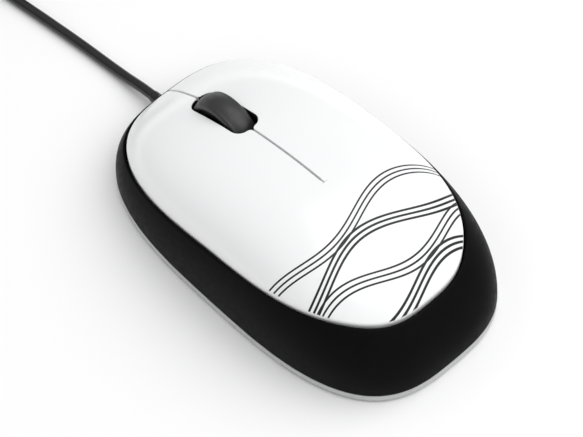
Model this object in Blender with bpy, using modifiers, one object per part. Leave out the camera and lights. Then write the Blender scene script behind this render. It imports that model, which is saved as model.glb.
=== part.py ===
"""Corded optical mouse, in metres, with +Z up and +Y towards the wheel and the cord.

The origin is on the desk, under the middle of the body. The casing follows one
smooth form: a rounded outline under a crowned top. A seam runs round the form,
with the light cover and buttons inside it and the dark band outside it.
"""

import math

import bmesh
import bpy
from mathutils import Vector

# The body's form
BODY_LENGTH = 0.105
BODY_WIDTH = 0.0614
FORM_FOOT_Z = 0.0008
FORM_POWER = 3.0
CROWN = (0.0307, -0.00536, -0.00979, 0.00492)  # height, by powers of y over half the length
SEAM = (0.887, 0.056, -0.009, -0.006, 0.006, -0.003)  # share of the outline, a cosine series
SEAM_NOSE = 0.024  # the seam is this much further out over the cord
SEAM_NOSE_POWER = 16  # how quickly that fades to the sides
SEAM_GAP = 0.0003
SEAT_GAP = 0.0003  # between pieces that rest on or in each other

# The casing
BASE_BOTTOM_Z = 0.0006
BASE_FLOOR = 0.0016
BASE_RIM_HEIGHT = 0.0022
BASE_EDGE = 0.0005
LIP_HEIGHT = 0.0018
LIP_WALL = 0.0010
BAND_WALL = 0.0018
COVER_WALL = 0.0016
LEDGE_DROP = 0.0012
LEDGE_WIDTH = 0.0015
LEDGE_THICKNESS = 0.0012

# The buttons
BUTTON_LENGTH = 0.0608  # from the front of the form to the flex line
SLIT = 0.0004
BOSS_SIZE = 0.0030

# The wheel and its carrier
WHEEL_SETBACK = 0.0260  # from the front of the form to the axle
WHEEL_RADIUS = 0.0104
WHEEL_WIDTH = 0.0066
WHEEL_PROUD = 0.0030
TREAD_CROWN = 0.0014
TYRE_THICKNESS = 0.0022
HUB_RIM = 0.0014
HUB_WEB = 0.0008  # half its thickness
HUB_EDGE = 0.0004  # the hub's rim is narrower than the tyre by this on each side
SLOT_SIDE_GAP = 0.00055  # from the tyre's side to the slot's side
SLOT_FRONT_GAP = 0.0005  # from the tyre, at the cover's inside, to the slot's front end
SLOT_REAR_GAP = 0.0022  # the same at its rear end
SLOT_CORNER = 0.0030
AXLE_RADIUS = 0.0015
AXLE_CLEARANCE = 0.00015
ENCODER_HOLES = 8
ENCODER_HOLE_RADIUS = 0.0010
ARM_GAP = 0.0013  # from the wheel's side to an arm of the carrier
ARM_WALL = 0.0016
ARM_RING = 0.0026
ARM_HEIGHT = 0.0028
CROSS_RADIUS = 0.0017
REAR_CROSS_BEHIND = 0.0030  # from the tyre to the rear cross bar
PRESS_FOOT = 0.0024
PIVOT_RADIUS = 0.0012
PIVOT_AHEAD = 0.0144  # from the axle to the pivot
PIVOT_DROP = 0.0065
PIVOT_POST = 0.0020

# The circuit board and what stands on it
BOARD_Z = 0.0050
BOARD_THICKNESS = 0.0012
BOARD_SETBACK = 0.0090  # from the front of the form to the board's front edge
BOARD_REAR_GAP = 0.0100  # from the case screws to the board's rear edge
BOARD_MARGIN = 0.0097  # from the body's side to the board's side
BOARD_CORNER = 0.0095
BAY_SIDE_GAP = 0.0009  # from the pivot posts to the opening for the wheel
BAY_BEHIND = 0.0151  # from the axle to the rear edge of that opening
BOARD_POST_RADIUS = 0.0020
BOARD_POST_BACK = 0.0245  # from the board's front edge to the front posts
BOARD_SCREW_INSET = 0.0035  # from the board's side
BOARD_SCREW_AHEAD = 0.0075  # from the board's rear edge
BOARD_SCREW_RADIUS = 0.0009
BOARD_SCREW_HEAD = 0.0012
BOARD_SCREW_LENGTH = 0.0040  # below its head
SCREW_SLOT = (0.0030, 0.0005, 0.0010)
SWITCH_SIZE = (0.0058, 0.0128, 0.0065)
SWITCH_OFFSET = 0.0150
SWITCH_SETBACK = 0.0188  # from the front of the form to a switch's middle
PLUNGER_SIZE = (0.0014, 0.0029, 0.0008)
PLUNGER_DEPTH = 0.0020
PLUNGER_TRAVEL = 0.0008
CLICK_SWITCH_SIZE = (0.0060, 0.0060, 0.0035)
CLICK_SWITCH_GAP = 0.0008  # from the opening for the wheel to the switch
CLICK_SWITCH_BEHIND = 0.0096  # from the axle to the switch's middle
CLICK_PLUNGER_RADIUS = 0.0016
CLICK_PLUNGER_HEIGHT = 0.0012
CLICK_PLUNGER_DEPTH = 0.0014
CLICK_TRAVEL = 0.0009
EYE_SIZE = (0.0014, 0.0040)
EYE_GAP = 0.0003  # from the opening for the wheel to an eye
EYE_ABOVE_BEAM = 0.0016
HEADER_SIZE = (0.0100, 0.0050, 0.0050)
HEADER_SOCKET = (0.0080, 0.0030, 0.0035)
HEADER_X = -0.0140
HEADER_BEHIND = 0.0202  # from a switch's middle
CAPACITOR_SPOT = (0.0120, -0.0060)
CAPACITOR_RADIUS = 0.0026
CAPACITOR_HEIGHT = 0.0085
CHIP_SPOT = (-0.0120, -0.0060)
CHIP_SIZE = (0.0062, 0.0100, 0.0018)
OPTIC_Y = -0.0030
SENSOR_SIZE = (0.0124, 0.0090, 0.0036)
LENS_SIZE = (0.0100, 0.0180)
LENS_WINDOW = (0.0060, 0.0050)
LENS_OPENING = (0.0110, 0.0080)
LED_RADIUS = 0.0025
LED_LENGTH = 0.0078
LED_COLLAR = 0.0004  # wider than the lamp all round
LED_LIFT = 0.0007
CLIP_WALL = 0.0016
CLIP_LENGTH = 0.0036
CLIP_TOP = 0.0018

# Screws, feet and label
SCREW_OFFSET = 0.0120
SCREW_FROM_REAR = 0.0185
SCREW_RADIUS = 0.0012
SCREW_HEAD_RADIUS = 0.0026
SCREW_HEAD_HEIGHT = 0.0015
SCREW_HEAD_SINK = 0.0006  # the head lies this far inside the base
SCREW_LENGTH = 0.0115
SCREW_CROSS = (0.0034, 0.0006, 0.0012)
BOSS_WALL = 0.0018
BOSS_JOINT_Z = 0.0080
FOOT_INSET = 0.0045
FOOT_WIDTH = 0.0075
FOOT_SPREAD = 0.62  # half the angle that a foot covers, in radians
RECESS_DEPTH = 0.0004
LABEL_SIZE = (0.0260, 0.0150)
LABEL_CORNER = 0.0015

# The cord
CORD_DIAMETER = 0.0027
CORD_EXIT_Z = 0.0037
BOOT_LENGTH = 0.0032
BOOT_TIP_WALL = 0.00015
NECK_WALL = 0.0003
COLLAR_STEP = 0.0003
COLLAR_LENGTH = 0.0010
FLANGE_STEP = 0.0003
FLANGE_THICKNESS = 0.0014
FLANGE_BACK = 0.0009  # from the lip to the flange
LEAD_DIAMETER = 0.0016
COIL_CENTRE = (0.0100, 0.1370)
COIL_RADIUS = 0.0160  # to the middle of its turns
COIL_SIDE = 0.0110  # of the bundle of turns, across and up
COIL_LIFT = 0.0009
COIL_CORNER = 0.0012
TIE_WIDTH = 0.0040
TIE_WALL = 0.0006
PLUG_X = -0.0225
PLUG_Y = 0.1290
PLUG_Z = 0.0041
PLUG_BOOT_LENGTH = 0.0080
PLUG_BOOT_WALL = 0.00135
PLUG_GRIP_SIZE = (0.0158, 0.0210, 0.0080)
PLUG_SHELL_SIZE = (0.0120, 0.0125, 0.0045)
PLUG_SHELL_WALL = 0.0004
PLUG_SHELL_BACK = 0.0010  # thickness of the closed end, inside the grip
PLUG_WINDOW = (0.0022, 0.0024, 0.0100)
PLUG_WINDOW_AT = (0.0026, 0.0075)  # from the shell's middle and from its closed end
PLUG_TONGUE_SIZE = (0.0104, 0.0110, 0.0018)

# Worked out from the sizes above
FRONT_Y = BODY_LENGTH / 2
FLEX_Y = FRONT_Y - BUTTON_LENGTH
WHEEL_Y = FRONT_Y - WHEEL_SETBACK
SWITCH_Y = FRONT_Y - SWITCH_SETBACK
SCREW_Y = SCREW_FROM_REAR - FRONT_Y
FLOOR_Z = BASE_BOTTOM_Z + BASE_FLOOR
RIM_Z = BASE_BOTTOM_Z + BASE_RIM_HEIGHT
BAND_FOOT_Z = RIM_Z + SEAT_GAP
BOARD_TOP_Z = BOARD_Z + BOARD_THICKNESS
MOUNT_Z = BOARD_TOP_Z + SEAT_GAP  # underside of what stands on the board
LIP_INSET = BAND_WALL + SEAT_GAP
ARM_X = WHEEL_WIDTH / 2 + ARM_GAP
ARM_OUTER_X = ARM_X + ARM_WALL
PIVOT_Y = WHEEL_Y + PIVOT_AHEAD
SLOT_HALF_WIDTH = WHEEL_WIDTH / 2 + SLOT_SIDE_GAP
HUB_RADIUS = WHEEL_RADIUS - TYRE_THICKNESS - AXLE_CLEARANCE
ENCODER_RADIUS = (2 * AXLE_RADIUS + HUB_RADIUS - HUB_RIM) / 2
BAY_HALF_WIDTH = ARM_OUTER_X + SEAT_GAP + PIVOT_POST + BAY_SIDE_GAP
BAY_REAR_Y = WHEEL_Y - BAY_BEHIND
BOARD_SIDE_X = BODY_WIDTH / 2 - BOARD_MARGIN
BOARD_FRONT_Y = FRONT_Y - BOARD_SETBACK
BOARD_REAR_Y = SCREW_Y + BOARD_REAR_GAP
BOARD_SCREW_X = BOARD_SIDE_X - BOARD_SCREW_INSET
BOARD_SCREW_Y = BOARD_REAR_Y + BOARD_SCREW_AHEAD
BOARD_POST_Y = BOARD_FRONT_Y - BOARD_POST_BACK
CLICK_SWITCH_X = BAY_HALF_WIDTH + CLICK_SWITCH_GAP + CLICK_SWITCH_SIZE[0] / 2
CLICK_SWITCH_Y = WHEEL_Y - CLICK_SWITCH_BEHIND
HEADER_Y = SWITCH_Y - HEADER_BEHIND
LABEL_Y = (OPTIC_Y - LENS_OPENING[1] / 2 + SCREW_Y + SCREW_HEAD_RADIUS) / 2
SCREW_HEAD_Z = BASE_BOTTOM_Z + SCREW_HEAD_SINK
CORD_RADIUS = CORD_DIAMETER / 2
CORD_REST_Z = CORD_RADIUS + 0.0001
POST_FOOT_Z = FLOOR_Z - 0.0007  # posts start inside the floor, so that they join it
NECK_RADIUS = CORD_RADIUS + NECK_WALL
COLLAR_RADIUS = NECK_RADIUS + COLLAR_STEP
FLANGE_RADIUS = NECK_RADIUS + FLANGE_STEP
FLANGE_FRONT_Y = FRONT_Y - BAND_WALL - LIP_WALL - 2 * SEAT_GAP - FLANGE_BACK
FLANGE_REAR_Y = FLANGE_FRONT_Y - FLANGE_THICKNESS
SWITCH_TOP_Z = MOUNT_Z + SWITCH_SIZE[2]
PLUNGER_TOP_Z = SWITCH_TOP_Z + PLUNGER_SIZE[2]
CLICK_TOP_Z = MOUNT_Z + CLICK_SWITCH_SIZE[2]
OUTLINE_STEPS = 48

# Colour, roughness and metallic value of each material
FINISHES = {
    "white_gloss": ((0.90, 0.90, 0.90), 0.18, 0.0),
    "black_matte": ((0.015, 0.015, 0.016), 0.55, 0.0),
    "grey_plastic": ((0.52, 0.53, 0.54), 0.45, 0.0),
    "rubber": ((0.03, 0.03, 0.032), 0.65, 0.0),
    "foot_film": ((0.06, 0.06, 0.065), 0.35, 0.0),
    "label_film": ((0.75, 0.75, 0.74), 0.50, 0.0),
    "board_green": ((0.02, 0.16, 0.07), 0.40, 0.0),
    "part_black": ((0.02, 0.02, 0.02), 0.40, 0.0),
    "part_blue": ((0.05, 0.12, 0.35), 0.35, 0.0),
    "part_white": ((0.80, 0.78, 0.72), 0.45, 0.0),
    "clear_plastic": ((0.85, 0.88, 0.90), 0.05, 0.0),
    "red_lamp": ((0.65, 0.03, 0.03), 0.15, 0.0),
    "steel": ((0.60, 0.60, 0.62), 0.30, 1.0),
    "tin": ((0.70, 0.70, 0.72), 0.25, 1.0),
}


def clear_scene():
    for obj in list(bpy.data.objects):
        bpy.data.objects.remove(obj, do_unlink=True)


def collection(name):
    made = bpy.data.collections.new(name)
    bpy.context.scene.collection.children.link(made)
    return made


def material(name):
    made = bpy.data.materials.get(name)
    if made:
        return made
    colour, roughness, metallic = FINISHES[name]
    made = bpy.data.materials.new(name)
    made.use_nodes = True
    made.diffuse_color = (*colour, 1.0)
    shader = made.node_tree.nodes["Principled BSDF"]
    shader.inputs["Base Color"].default_value = (*colour, 1.0)
    shader.inputs["Roughness"].default_value = roughness
    shader.inputs["Metallic"].default_value = metallic
    return made


def new_object(name, mesh):
    """An object that holds the bmesh, in the cutters' collection until it is kept."""
    data = bpy.data.meshes.new(name)
    mesh.to_mesh(data)
    mesh.free()
    obj = bpy.data.objects.new(name, data)
    CUTTERS.objects.link(obj)
    obj.hide_render = True
    obj.display_type = "WIRE"
    return obj


def keep(obj, finish, parent=None, sharp=35):
    """Makes the object one of the mouse's pieces, with its finish and its parent."""
    CUTTERS.objects.unlink(obj)
    MOUSE.objects.link(obj)
    obj.hide_render = False
    obj.display_type = "TEXTURED"
    obj.data.materials.append(material(finish))
    if obj.type == "MESH":
        obj.data.shade_smooth()
        obj.data.set_sharp_from_angle(angle=math.radians(sharp))
    if parent:
        obj.parent = parent
        obj.location = Vector(obj.location) - parent.location
    return obj


def pivot(name, location):
    """An empty on a joint's axis, which carries the pieces that the joint moves."""
    empty = bpy.data.objects.new(name, None)
    empty.location = location
    MOUSE.objects.link(empty)
    return empty


def block(name, low, high):
    mesh = bmesh.new()
    bmesh.ops.create_cube(mesh, size=1.0)
    size = [b - a for a, b in zip(low, high)]
    bmesh.ops.scale(mesh, vec=size, verts=mesh.verts)
    obj = new_object(name, mesh)
    obj.location = [(a + b) / 2 for a, b in zip(low, high)]
    return obj


def centred_block(name, centre, size):
    """A box with its middle at centre in x and y, and its underside at centre's z."""
    x, y, z = centre
    width, length, height = size
    low = (x - width / 2, y - length / 2, z)
    return block(name, low, (x + width / 2, y + length / 2, z + height))


def rounded_block(name, low, high, radius, segments=4):
    """A box whose upright edges are rounded."""
    obj = block(name, low, high)
    mesh = bmesh.new()
    mesh.from_mesh(obj.data)
    upright = [e for e in mesh.edges if abs(e.verts[0].co.z - e.verts[1].co.z) > 1e-6]
    bmesh.ops.bevel(
        mesh, geom=upright, offset=radius, segments=segments, profile=0.5, affect="EDGES"
    )
    mesh.to_mesh(obj.data)
    mesh.free()
    return obj


def soften(obj, width, segments=2):
    """A rounded edge all round a piece."""
    bevel = obj.modifiers.new("soft_edge", "BEVEL")
    bevel.width = width
    bevel.segments = segments
    bevel.limit_method = "ANGLE"
    bevel.angle_limit = math.radians(40)
    return obj


def rod(name, radius, start, end, sides=20, end_radius=None):
    """A cylinder, or a cone, between two points."""
    start = Vector(start)
    run = Vector(end) - start
    mesh = bmesh.new()
    bmesh.ops.create_cone(
        mesh,
        cap_ends=True,
        segments=sides,
        radius1=radius,
        radius2=radius if end_radius is None else end_radius,
        depth=run.length,
    )
    obj = new_object(name, mesh)
    obj.location = start + run / 2
    obj.rotation_euler = run.to_track_quat("Z", "Y").to_euler()
    return obj


def turned(name, profile, location, turn=(0, 0, 0), steps=32, ring=False):
    """A profile of (radius, height) points, top to bottom, turned about its own Z."""
    mesh = bmesh.new()
    verts = [mesh.verts.new((radius, 0, height)) for radius, height in profile]
    for a, b in zip(verts, verts[1:]):
        mesh.edges.new((a, b))
    if ring:
        mesh.edges.new((verts[-1], verts[0]))
    obj = new_object(name, mesh)
    screw = obj.modifiers.new("turn", "SCREW")
    screw.steps = steps
    screw.render_steps = steps
    screw.use_merge_vertices = True
    screw.merge_threshold = 0.00001
    obj.location = location
    obj.rotation_euler = turn
    return obj


def combine(obj, operation, others):
    """Joins or cuts with each of the others, which stay hidden helpers."""
    for other in others:
        boolean = obj.modifiers.new(other.name, "BOOLEAN")
        boolean.operation = operation
        boolean.solver = "EXACT"
        boolean.object = other
    return obj


def loft(name, rings, ring_round=False):
    """A closed body through loops of points. ring_round joins the last loop to the first."""
    mesh = bmesh.new()
    loops = [[mesh.verts.new(point) for point in ring] for ring in rings]
    pairs = list(zip(loops, loops[1:]))
    if ring_round:
        pairs.append((loops[-1], loops[0]))
    for first, second in pairs:
        for i in range(len(first)):
            j = (i + 1) % len(first)
            mesh.faces.new((first[i], first[j], second[j], second[i]))
    if not ring_round:
        mesh.faces.new(loops[0])
        mesh.faces.new(loops[-1])
    bmesh.ops.recalc_face_normals(mesh, faces=mesh.faces)
    return new_object(name, mesh)


def flat_plate(name, outline, low_z, high_z):
    """A flat outline, filled on both sides and as thick as low_z to high_z, made a mesh."""
    curve = bpy.data.curves.new(name, "CURVE")
    curve.dimensions = "2D"
    curve.fill_mode = "BOTH"
    curve.extrude = (high_z - low_z) / 2
    spline = curve.splines.new("POLY")
    spline.points.add(len(outline) - 1)
    for point, (x, y) in zip(spline.points, outline):
        point.co = (x, y, 0, 1)
    spline.use_cyclic_u = True
    guide = bpy.data.objects.new(name + "_outline", curve)
    CUTTERS.objects.link(guide)
    graph = bpy.context.evaluated_depsgraph_get()
    data = bpy.data.meshes.new_from_object(guide.evaluated_get(graph))
    bpy.data.objects.remove(guide)
    mesh = bmesh.new()
    mesh.from_mesh(data)
    bmesh.ops.remove_doubles(mesh, verts=mesh.verts, dist=1e-6)
    obj = new_object(name, mesh)
    obj.location = (0, 0, (low_z + high_z) / 2)
    return obj


def smooth_route(points, spacing):
    """Points about spacing apart on a smooth curve through the given ones."""
    points = [Vector(p) for p in points]
    ends = [2 * points[0] - points[1], *points, 2 * points[-1] - points[-2]]
    route = []
    for before, start, end, after in zip(ends, ends[1:], ends[2:], ends[3:]):
        steps = max(1, round((end - start).length / spacing))
        for i in range(steps):
            t = i / steps
            bend = (2 * before - 5 * start + 4 * end - after) * t * t
            twist = (3 * start - before - 3 * end + after) * t ** 3
            route.append((2 * start + (end - before) * t + bend + twist) / 2)
    route.append(points[-1])
    return route


def tube(name, points, diameter, spacing):
    curve = bpy.data.curves.new(name, "CURVE")
    curve.dimensions = "3D"
    curve.bevel_depth = diameter / 2
    curve.bevel_resolution = 2
    curve.use_fill_caps = True
    route = smooth_route(points, spacing)
    spline = curve.splines.new("POLY")
    spline.points.add(len(route) - 1)
    for point, place in zip(spline.points, route):
        point.co = (*place, 1)
    obj = bpy.data.objects.new(name, curve)
    CUTTERS.objects.link(obj)
    return obj


def rounded(value):
    """The superellipse's share of an axis for a sine or a cosine."""
    return math.copysign(abs(value) ** (2 / FORM_POWER), value)


def crown_z(y):
    share = 2 * y / BODY_LENGTH
    return sum(height * share ** power for power, height in enumerate(CROWN))


def form_z(x, y, inset=0.0):
    """Height of the form over a point, on a skin that lies inset inside it."""
    reach = abs(x / (BODY_WIDTH / 2 - inset)) ** FORM_POWER
    reach += abs(y / (BODY_LENGTH / 2 - inset)) ** FORM_POWER
    rise = max(0.0, 1 - reach) ** (1 / FORM_POWER)
    return FORM_FOOT_Z + (crown_z(y) - inset - FORM_FOOT_Z) * rise


def form_xy(angle, share=1.0, inset=0.0):
    """A point at a share of the way to the outline, at an angle from the front."""
    x = share * (BODY_WIDTH / 2 - inset) * rounded(math.sin(angle))
    y = share * (BODY_LENGTH / 2 - inset) * rounded(math.cos(angle))
    return x, y


def form_share(angle, z, inset=0.0):
    """The share of the way to the outline at which the form has height z."""
    share = 1.0
    for _ in range(12):
        y = form_xy(angle, share, inset)[1]
        rise = min(1.0, (z - FORM_FOOT_Z) / (crown_z(y) - inset - FORM_FOOT_Z))
        share = (1 - rise ** FORM_POWER) ** (1 / FORM_POWER)
    return share


def seam_share(angle):
    nose = SEAM_NOSE * ((1 + math.cos(angle)) / 2) ** SEAM_NOSE_POWER
    return nose + sum(term * math.cos(k * angle) for k, term in enumerate(SEAM))


def cover_point(angle):
    """A point of the cover's edge, just inside the seam."""
    return form_xy(angle, seam_share(angle) - 2 * SEAM_GAP / BODY_WIDTH)


def cover_half_width(y):
    """Half the cover's width at y, found by halving the angle's range."""
    low, high = 0.0, math.pi
    for _ in range(40):
        middle = (low + high) / 2
        if cover_point(middle)[1] > y:
            low = middle
        else:
            high = middle
    return cover_point(low)[0]


def tyre_reach(way):
    """How far from the axle, ahead or behind, the tyre passes the cover's inside."""
    reach = WHEEL_RADIUS
    for _ in range(20):
        rise = form_z(0, WHEEL_Y + way * reach) - COVER_WALL - WHEEL_Z
        reach = math.sqrt(WHEEL_RADIUS ** 2 - rise ** 2)
    return reach


def skin_section(y, x_from, x_to, count):
    """One cross-section of the cover: over its outside and back along its inside."""
    across = [x_from + (x_to - x_from) * i / count for i in range(count + 1)]
    outside = [(x, y, form_z(x, y)) for x in across]
    inside = [(x, y, form_z(x, y, COVER_WALL)) for x in reversed(across)]
    return outside + inside


def stations(start, end, count):
    """Places from start to end, closer together towards the end."""
    return [start + (end - start) * math.sin(math.pi / 2 * i / count) for i in range(count + 1)]


def form_core(name, inset):
    """All that lies inside the form's skin, for cutting bosses off under it."""
    half = BODY_LENGTH / 2 - inset
    rings = []
    for i in range(-12, 13):
        y = half * math.sin(math.pi / 2 * i / 12.3)
        reach = max(0.0, 1 - abs(y / half) ** FORM_POWER) ** (1 / FORM_POWER)
        width = (BODY_WIDTH / 2 - inset) * reach
        across = [-width * math.cos(math.pi * k / 24) for k in range(25)]
        top = [(x, y, form_z(x, y, inset) + 1e-5) for x in across]
        rings.append(top + [(width, y, 0.0), (-width, y, 0.0)])
    return loft(name, rings)


def make_feet_and_base():
    recess_top = BASE_BOTTOM_Z + RECESS_DEPTH
    cutters = []
    for name, centre in (("front_foot", 0.0), ("rear_foot", math.pi)):
        keep(foot(name, centre, 0.0, 0.0, recess_top - SEAT_GAP / 2), "foot_film")
        cutters.append(foot(name + "_recess", centre, SEAT_GAP, -0.001, recess_top))
    label_low = (-LABEL_SIZE[0] / 2, LABEL_Y - LABEL_SIZE[1] / 2, BASE_BOTTOM_Z - 0.0001)
    label_high = (LABEL_SIZE[0] / 2, LABEL_Y + LABEL_SIZE[1] / 2, recess_top - 0.0002)
    keep(rounded_block("blank_label", label_low, label_high, LABEL_CORNER), "label_film")
    recess_low = (label_low[0] - SEAT_GAP, label_low[1] - SEAT_GAP, -0.001)
    recess_high = (label_high[0] + SEAT_GAP, label_high[1] + SEAT_GAP, recess_top)
    corner = LABEL_CORNER + SEAT_GAP
    cutters.append(rounded_block("label_recess", recess_low, recess_high, corner))

    low = (-LENS_OPENING[0] / 2, OPTIC_Y - LENS_OPENING[1] / 2, -0.001)
    high = (LENS_OPENING[0] / 2, OPTIC_Y + LENS_OPENING[1] / 2, FLOOR_Z + 0.001)
    cutters.append(rounded_block("lens_opening", low, high, 0.0015))
    posts = []
    for side in (-1, 1):
        x = side * SCREW_OFFSET
        boss = SCREW_HEAD_RADIUS + BOSS_WALL
        top = BOSS_JOINT_Z - SEAT_GAP
        posts.append(rod(f"screw_boss{side}", boss, (x, SCREW_Y, 0.001), (x, SCREW_Y, top)))
        seat = SCREW_HEAD_Z + SCREW_HEAD_HEIGHT + SEAT_GAP
        bore = SCREW_HEAD_RADIUS + SEAT_GAP
        cutters.append(rod(f"head_bore{side}", bore, (x, SCREW_Y, -0.001), (x, SCREW_Y, seat)))
        bore = SCREW_RADIUS + SEAT_GAP
        cutters.append(rod(f"shank_bore{side}", bore, (x, SCREW_Y, 0.0), (x, SCREW_Y, 0.01)))
        keep(case_screw(side), "steel")
        posts.append(pivot_post(side))
        start = (side * ARM_OUTER_X, PIVOT_Y, PIVOT_Z)
        end = (side * (ARM_OUTER_X + PIVOT_POST + 0.002), PIVOT_Y, PIVOT_Z)
        cutters.append(rod(f"pivot_bore{side}", PIVOT_RADIUS + AXLE_CLEARANCE, start, end))
        for place, y in (("rear", BOARD_SCREW_Y), ("front", BOARD_POST_Y)):
            foot_at = (side * BOARD_SCREW_X, y, POST_FOOT_Z)
            top_at = (side * BOARD_SCREW_X, y, BOARD_Z - SEAT_GAP)
            posts.append(rod(f"{place}_post{side}", BOARD_POST_RADIUS, foot_at, top_at))
        pilot = BOARD_SCREW_RADIUS + SEAT_GAP / 2
        start = (side * BOARD_SCREW_X, BOARD_SCREW_Y, FLOOR_Z)
        end = (side * BOARD_SCREW_X, BOARD_SCREW_Y, BOARD_Z)
        cutters.append(rod(f"pilot{side}", pilot, start, end, 12))
    top_z = RIM_Z + 2 * LIP_HEIGHT
    half = FLANGE_RADIUS + SEAT_GAP
    low = (-half, FLANGE_REAR_Y - SEAT_GAP, CORD_EXIT_Z - half)
    cutters.append(block("flange_seat", low, (half, FLANGE_FRONT_Y + SEAT_GAP, top_z)))
    half = NECK_RADIUS + SEAT_GAP
    low = (-half, FLANGE_FRONT_Y, CORD_EXIT_Z - half)
    cutters.append(block("neck_notch", low, (half, FRONT_Y + BAND_WALL, top_z)))

    levels = (
        (BASE_EDGE, BASE_BOTTOM_Z),
        (0.0, BASE_BOTTOM_Z + BASE_EDGE),
        (0.0, RIM_Z),
        (LIP_INSET, RIM_Z),
        (LIP_INSET, RIM_Z + LIP_HEIGHT),
        (LIP_INSET + LIP_WALL, RIM_Z + LIP_HEIGHT),
        (LIP_INSET + LIP_WALL, FLOOR_Z),
    )
    rings = [outline_ring(inset, z) for inset, z in levels]
    base = combine(loft("base_plate", rings), "UNION", posts)
    keep(combine(base, "DIFFERENCE", cutters), "grey_plastic")


def outline_ring(inset, z):
    turns = [2 * math.pi * i / OUTLINE_STEPS for i in range(OUTLINE_STEPS)]
    return [(*form_xy(angle, 1.0, inset), z) for angle in turns]


def foot(name, centre, spare, low_z, high_z):
    """A crescent along the outline, larger all round by spare."""
    steps = 12
    reach = FOOT_SPREAD + spare / FOOT_WIDTH / 4
    turns = [centre + reach * (2 * i / steps - 1) for i in range(steps + 1)]
    outer = [form_xy(angle, 1.0, FOOT_INSET - spare) for angle in turns]
    inner = [form_xy(angle, 1.0, FOOT_INSET + FOOT_WIDTH + spare) for angle in reversed(turns)]
    return flat_plate(name, outer + inner, low_z, high_z)


def case_screw(side):
    tip = SCREW_HEAD_Z + SCREW_LENGTH
    neck = SCREW_HEAD_Z + SCREW_HEAD_HEIGHT
    profile = (
        (0.0, tip),
        (SCREW_RADIUS * 0.4, tip - 0.0003),
        (SCREW_RADIUS, tip - 0.0015),
        (SCREW_RADIUS, neck),
        (SCREW_HEAD_RADIUS, neck),
        (SCREW_HEAD_RADIUS, SCREW_HEAD_Z + 0.0005),
        (SCREW_HEAD_RADIUS * 0.8, SCREW_HEAD_Z),
        (0.0, SCREW_HEAD_Z),
    )
    name = "left_case_screw" if side < 0 else "right_case_screw"
    screw = turned(name, profile, (side * SCREW_OFFSET, SCREW_Y, 0.0), steps=14)
    place = (side * SCREW_OFFSET, SCREW_Y, SCREW_HEAD_Z - 0.0005)
    long_side, short_side, depth = SCREW_CROSS
    slot = centred_block(f"drive_slot{side}", place, (short_side, long_side, depth))
    cross = centred_block(f"drive_cross{side}", place, SCREW_CROSS)
    return combine(screw, "DIFFERENCE", [slot, cross])


def pivot_post(side):
    """An upright of the base that holds one end of the carrier's pivot."""
    inner = ARM_OUTER_X + SEAT_GAP
    xs = sorted((side * inner, side * (inner + PIVOT_POST)))
    half = PIVOT_RADIUS + 0.0014
    return block(
        f"pivot_post{side}",
        (xs[0], PIVOT_Y - half, POST_FOOT_Z),
        (xs[1], PIVOT_Y + half, PIVOT_Z + half),
    )


def make_band():
    rings = [band_section(2 * math.pi * i / OUTLINE_STEPS) for i in range(OUTLINE_STEPS)]
    band = loft("side_band", rings, ring_round=True)
    hole = NECK_RADIUS + SEAT_GAP
    wall_y = FRONT_Y - BAND_WALL - SEAT_GAP
    start, end = (0, wall_y - 0.003, CORD_EXIT_Z), (0, FRONT_Y + 0.002, CORD_EXIT_Z)
    arch = rod("cord_arch", hole, start, end, 24)
    low = (-hole, start[1], 0.001)
    gate = block("cord_gate", low, (hole, end[1], CORD_EXIT_Z))
    room = FLANGE_RADIUS + SEAT_GAP
    low = (-room, FRONT_Y - 0.008, 0.001)
    pocket = block("flange_pocket", low, (room, wall_y, CORD_EXIT_Z + room))
    keep(combine(band, "DIFFERENCE", [arch, gate, pocket]), "black_matte")


def band_section(angle):
    """The band's cross-section: up the outside, in under the cover and down the inside."""
    seam = seam_share(angle)
    seam_xy = form_xy(angle, seam)
    top_z = form_z(*seam_xy)
    rise = 7
    section = []
    for i in range(rise):
        z = BAND_FOOT_Z + (top_z - BAND_FOOT_Z) * i / rise
        section.append((*form_xy(angle, form_share(angle, z)), z))
    ledge_z = form_z(*seam_xy, COVER_WALL) - LEDGE_DROP
    ledge_xy = form_xy(angle, seam - 2 * LEDGE_WIDTH / BODY_WIDTH)
    section.append((*seam_xy, top_z))
    section.append((*seam_xy, ledge_z))
    section.append((*ledge_xy, ledge_z))
    under_z = ledge_z - LEDGE_THICKNESS
    section.append((*ledge_xy, under_z))
    fall = 4
    for i in range(fall + 1):
        z = under_z + (BAND_FOOT_Z - under_z) * i / fall
        share = form_share(angle, z, BAND_WALL)
        section.append((*form_xy(angle, share, BAND_WALL), z))
    return section


def make_palm_cover():
    rear = cover_point(math.radians(177))[1]
    rings = []
    for y in stations(FLEX_Y - SEAM_GAP / 2, rear, 14):
        half = cover_half_width(y)
        rings.append(skin_section(y, -half, half, 16))
    cover = loft("palm_cover", rings)
    bosses, pilots = [], []
    for side in (-1, 1):
        x = side * SCREW_OFFSET
        boss = SCREW_RADIUS + BOSS_WALL
        post = rod(f"cover_boss{side}", boss, (x, SCREW_Y, BOSS_JOINT_Z), (x, SCREW_Y, 0.04))
        bosses.append(combine(post, "INTERSECT", [CORE]))
        top = SCREW_HEAD_Z + SCREW_LENGTH + 0.001
        bore = SCREW_RADIUS + AXLE_CLEARANCE
        pilots.append(rod(f"cover_pilot{side}", bore, (x, SCREW_Y, 0.0), (x, SCREW_Y, top)))
    combine(cover, "UNION", bosses)
    keep(combine(cover, "DIFFERENCE", pilots), "white_gloss")


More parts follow.
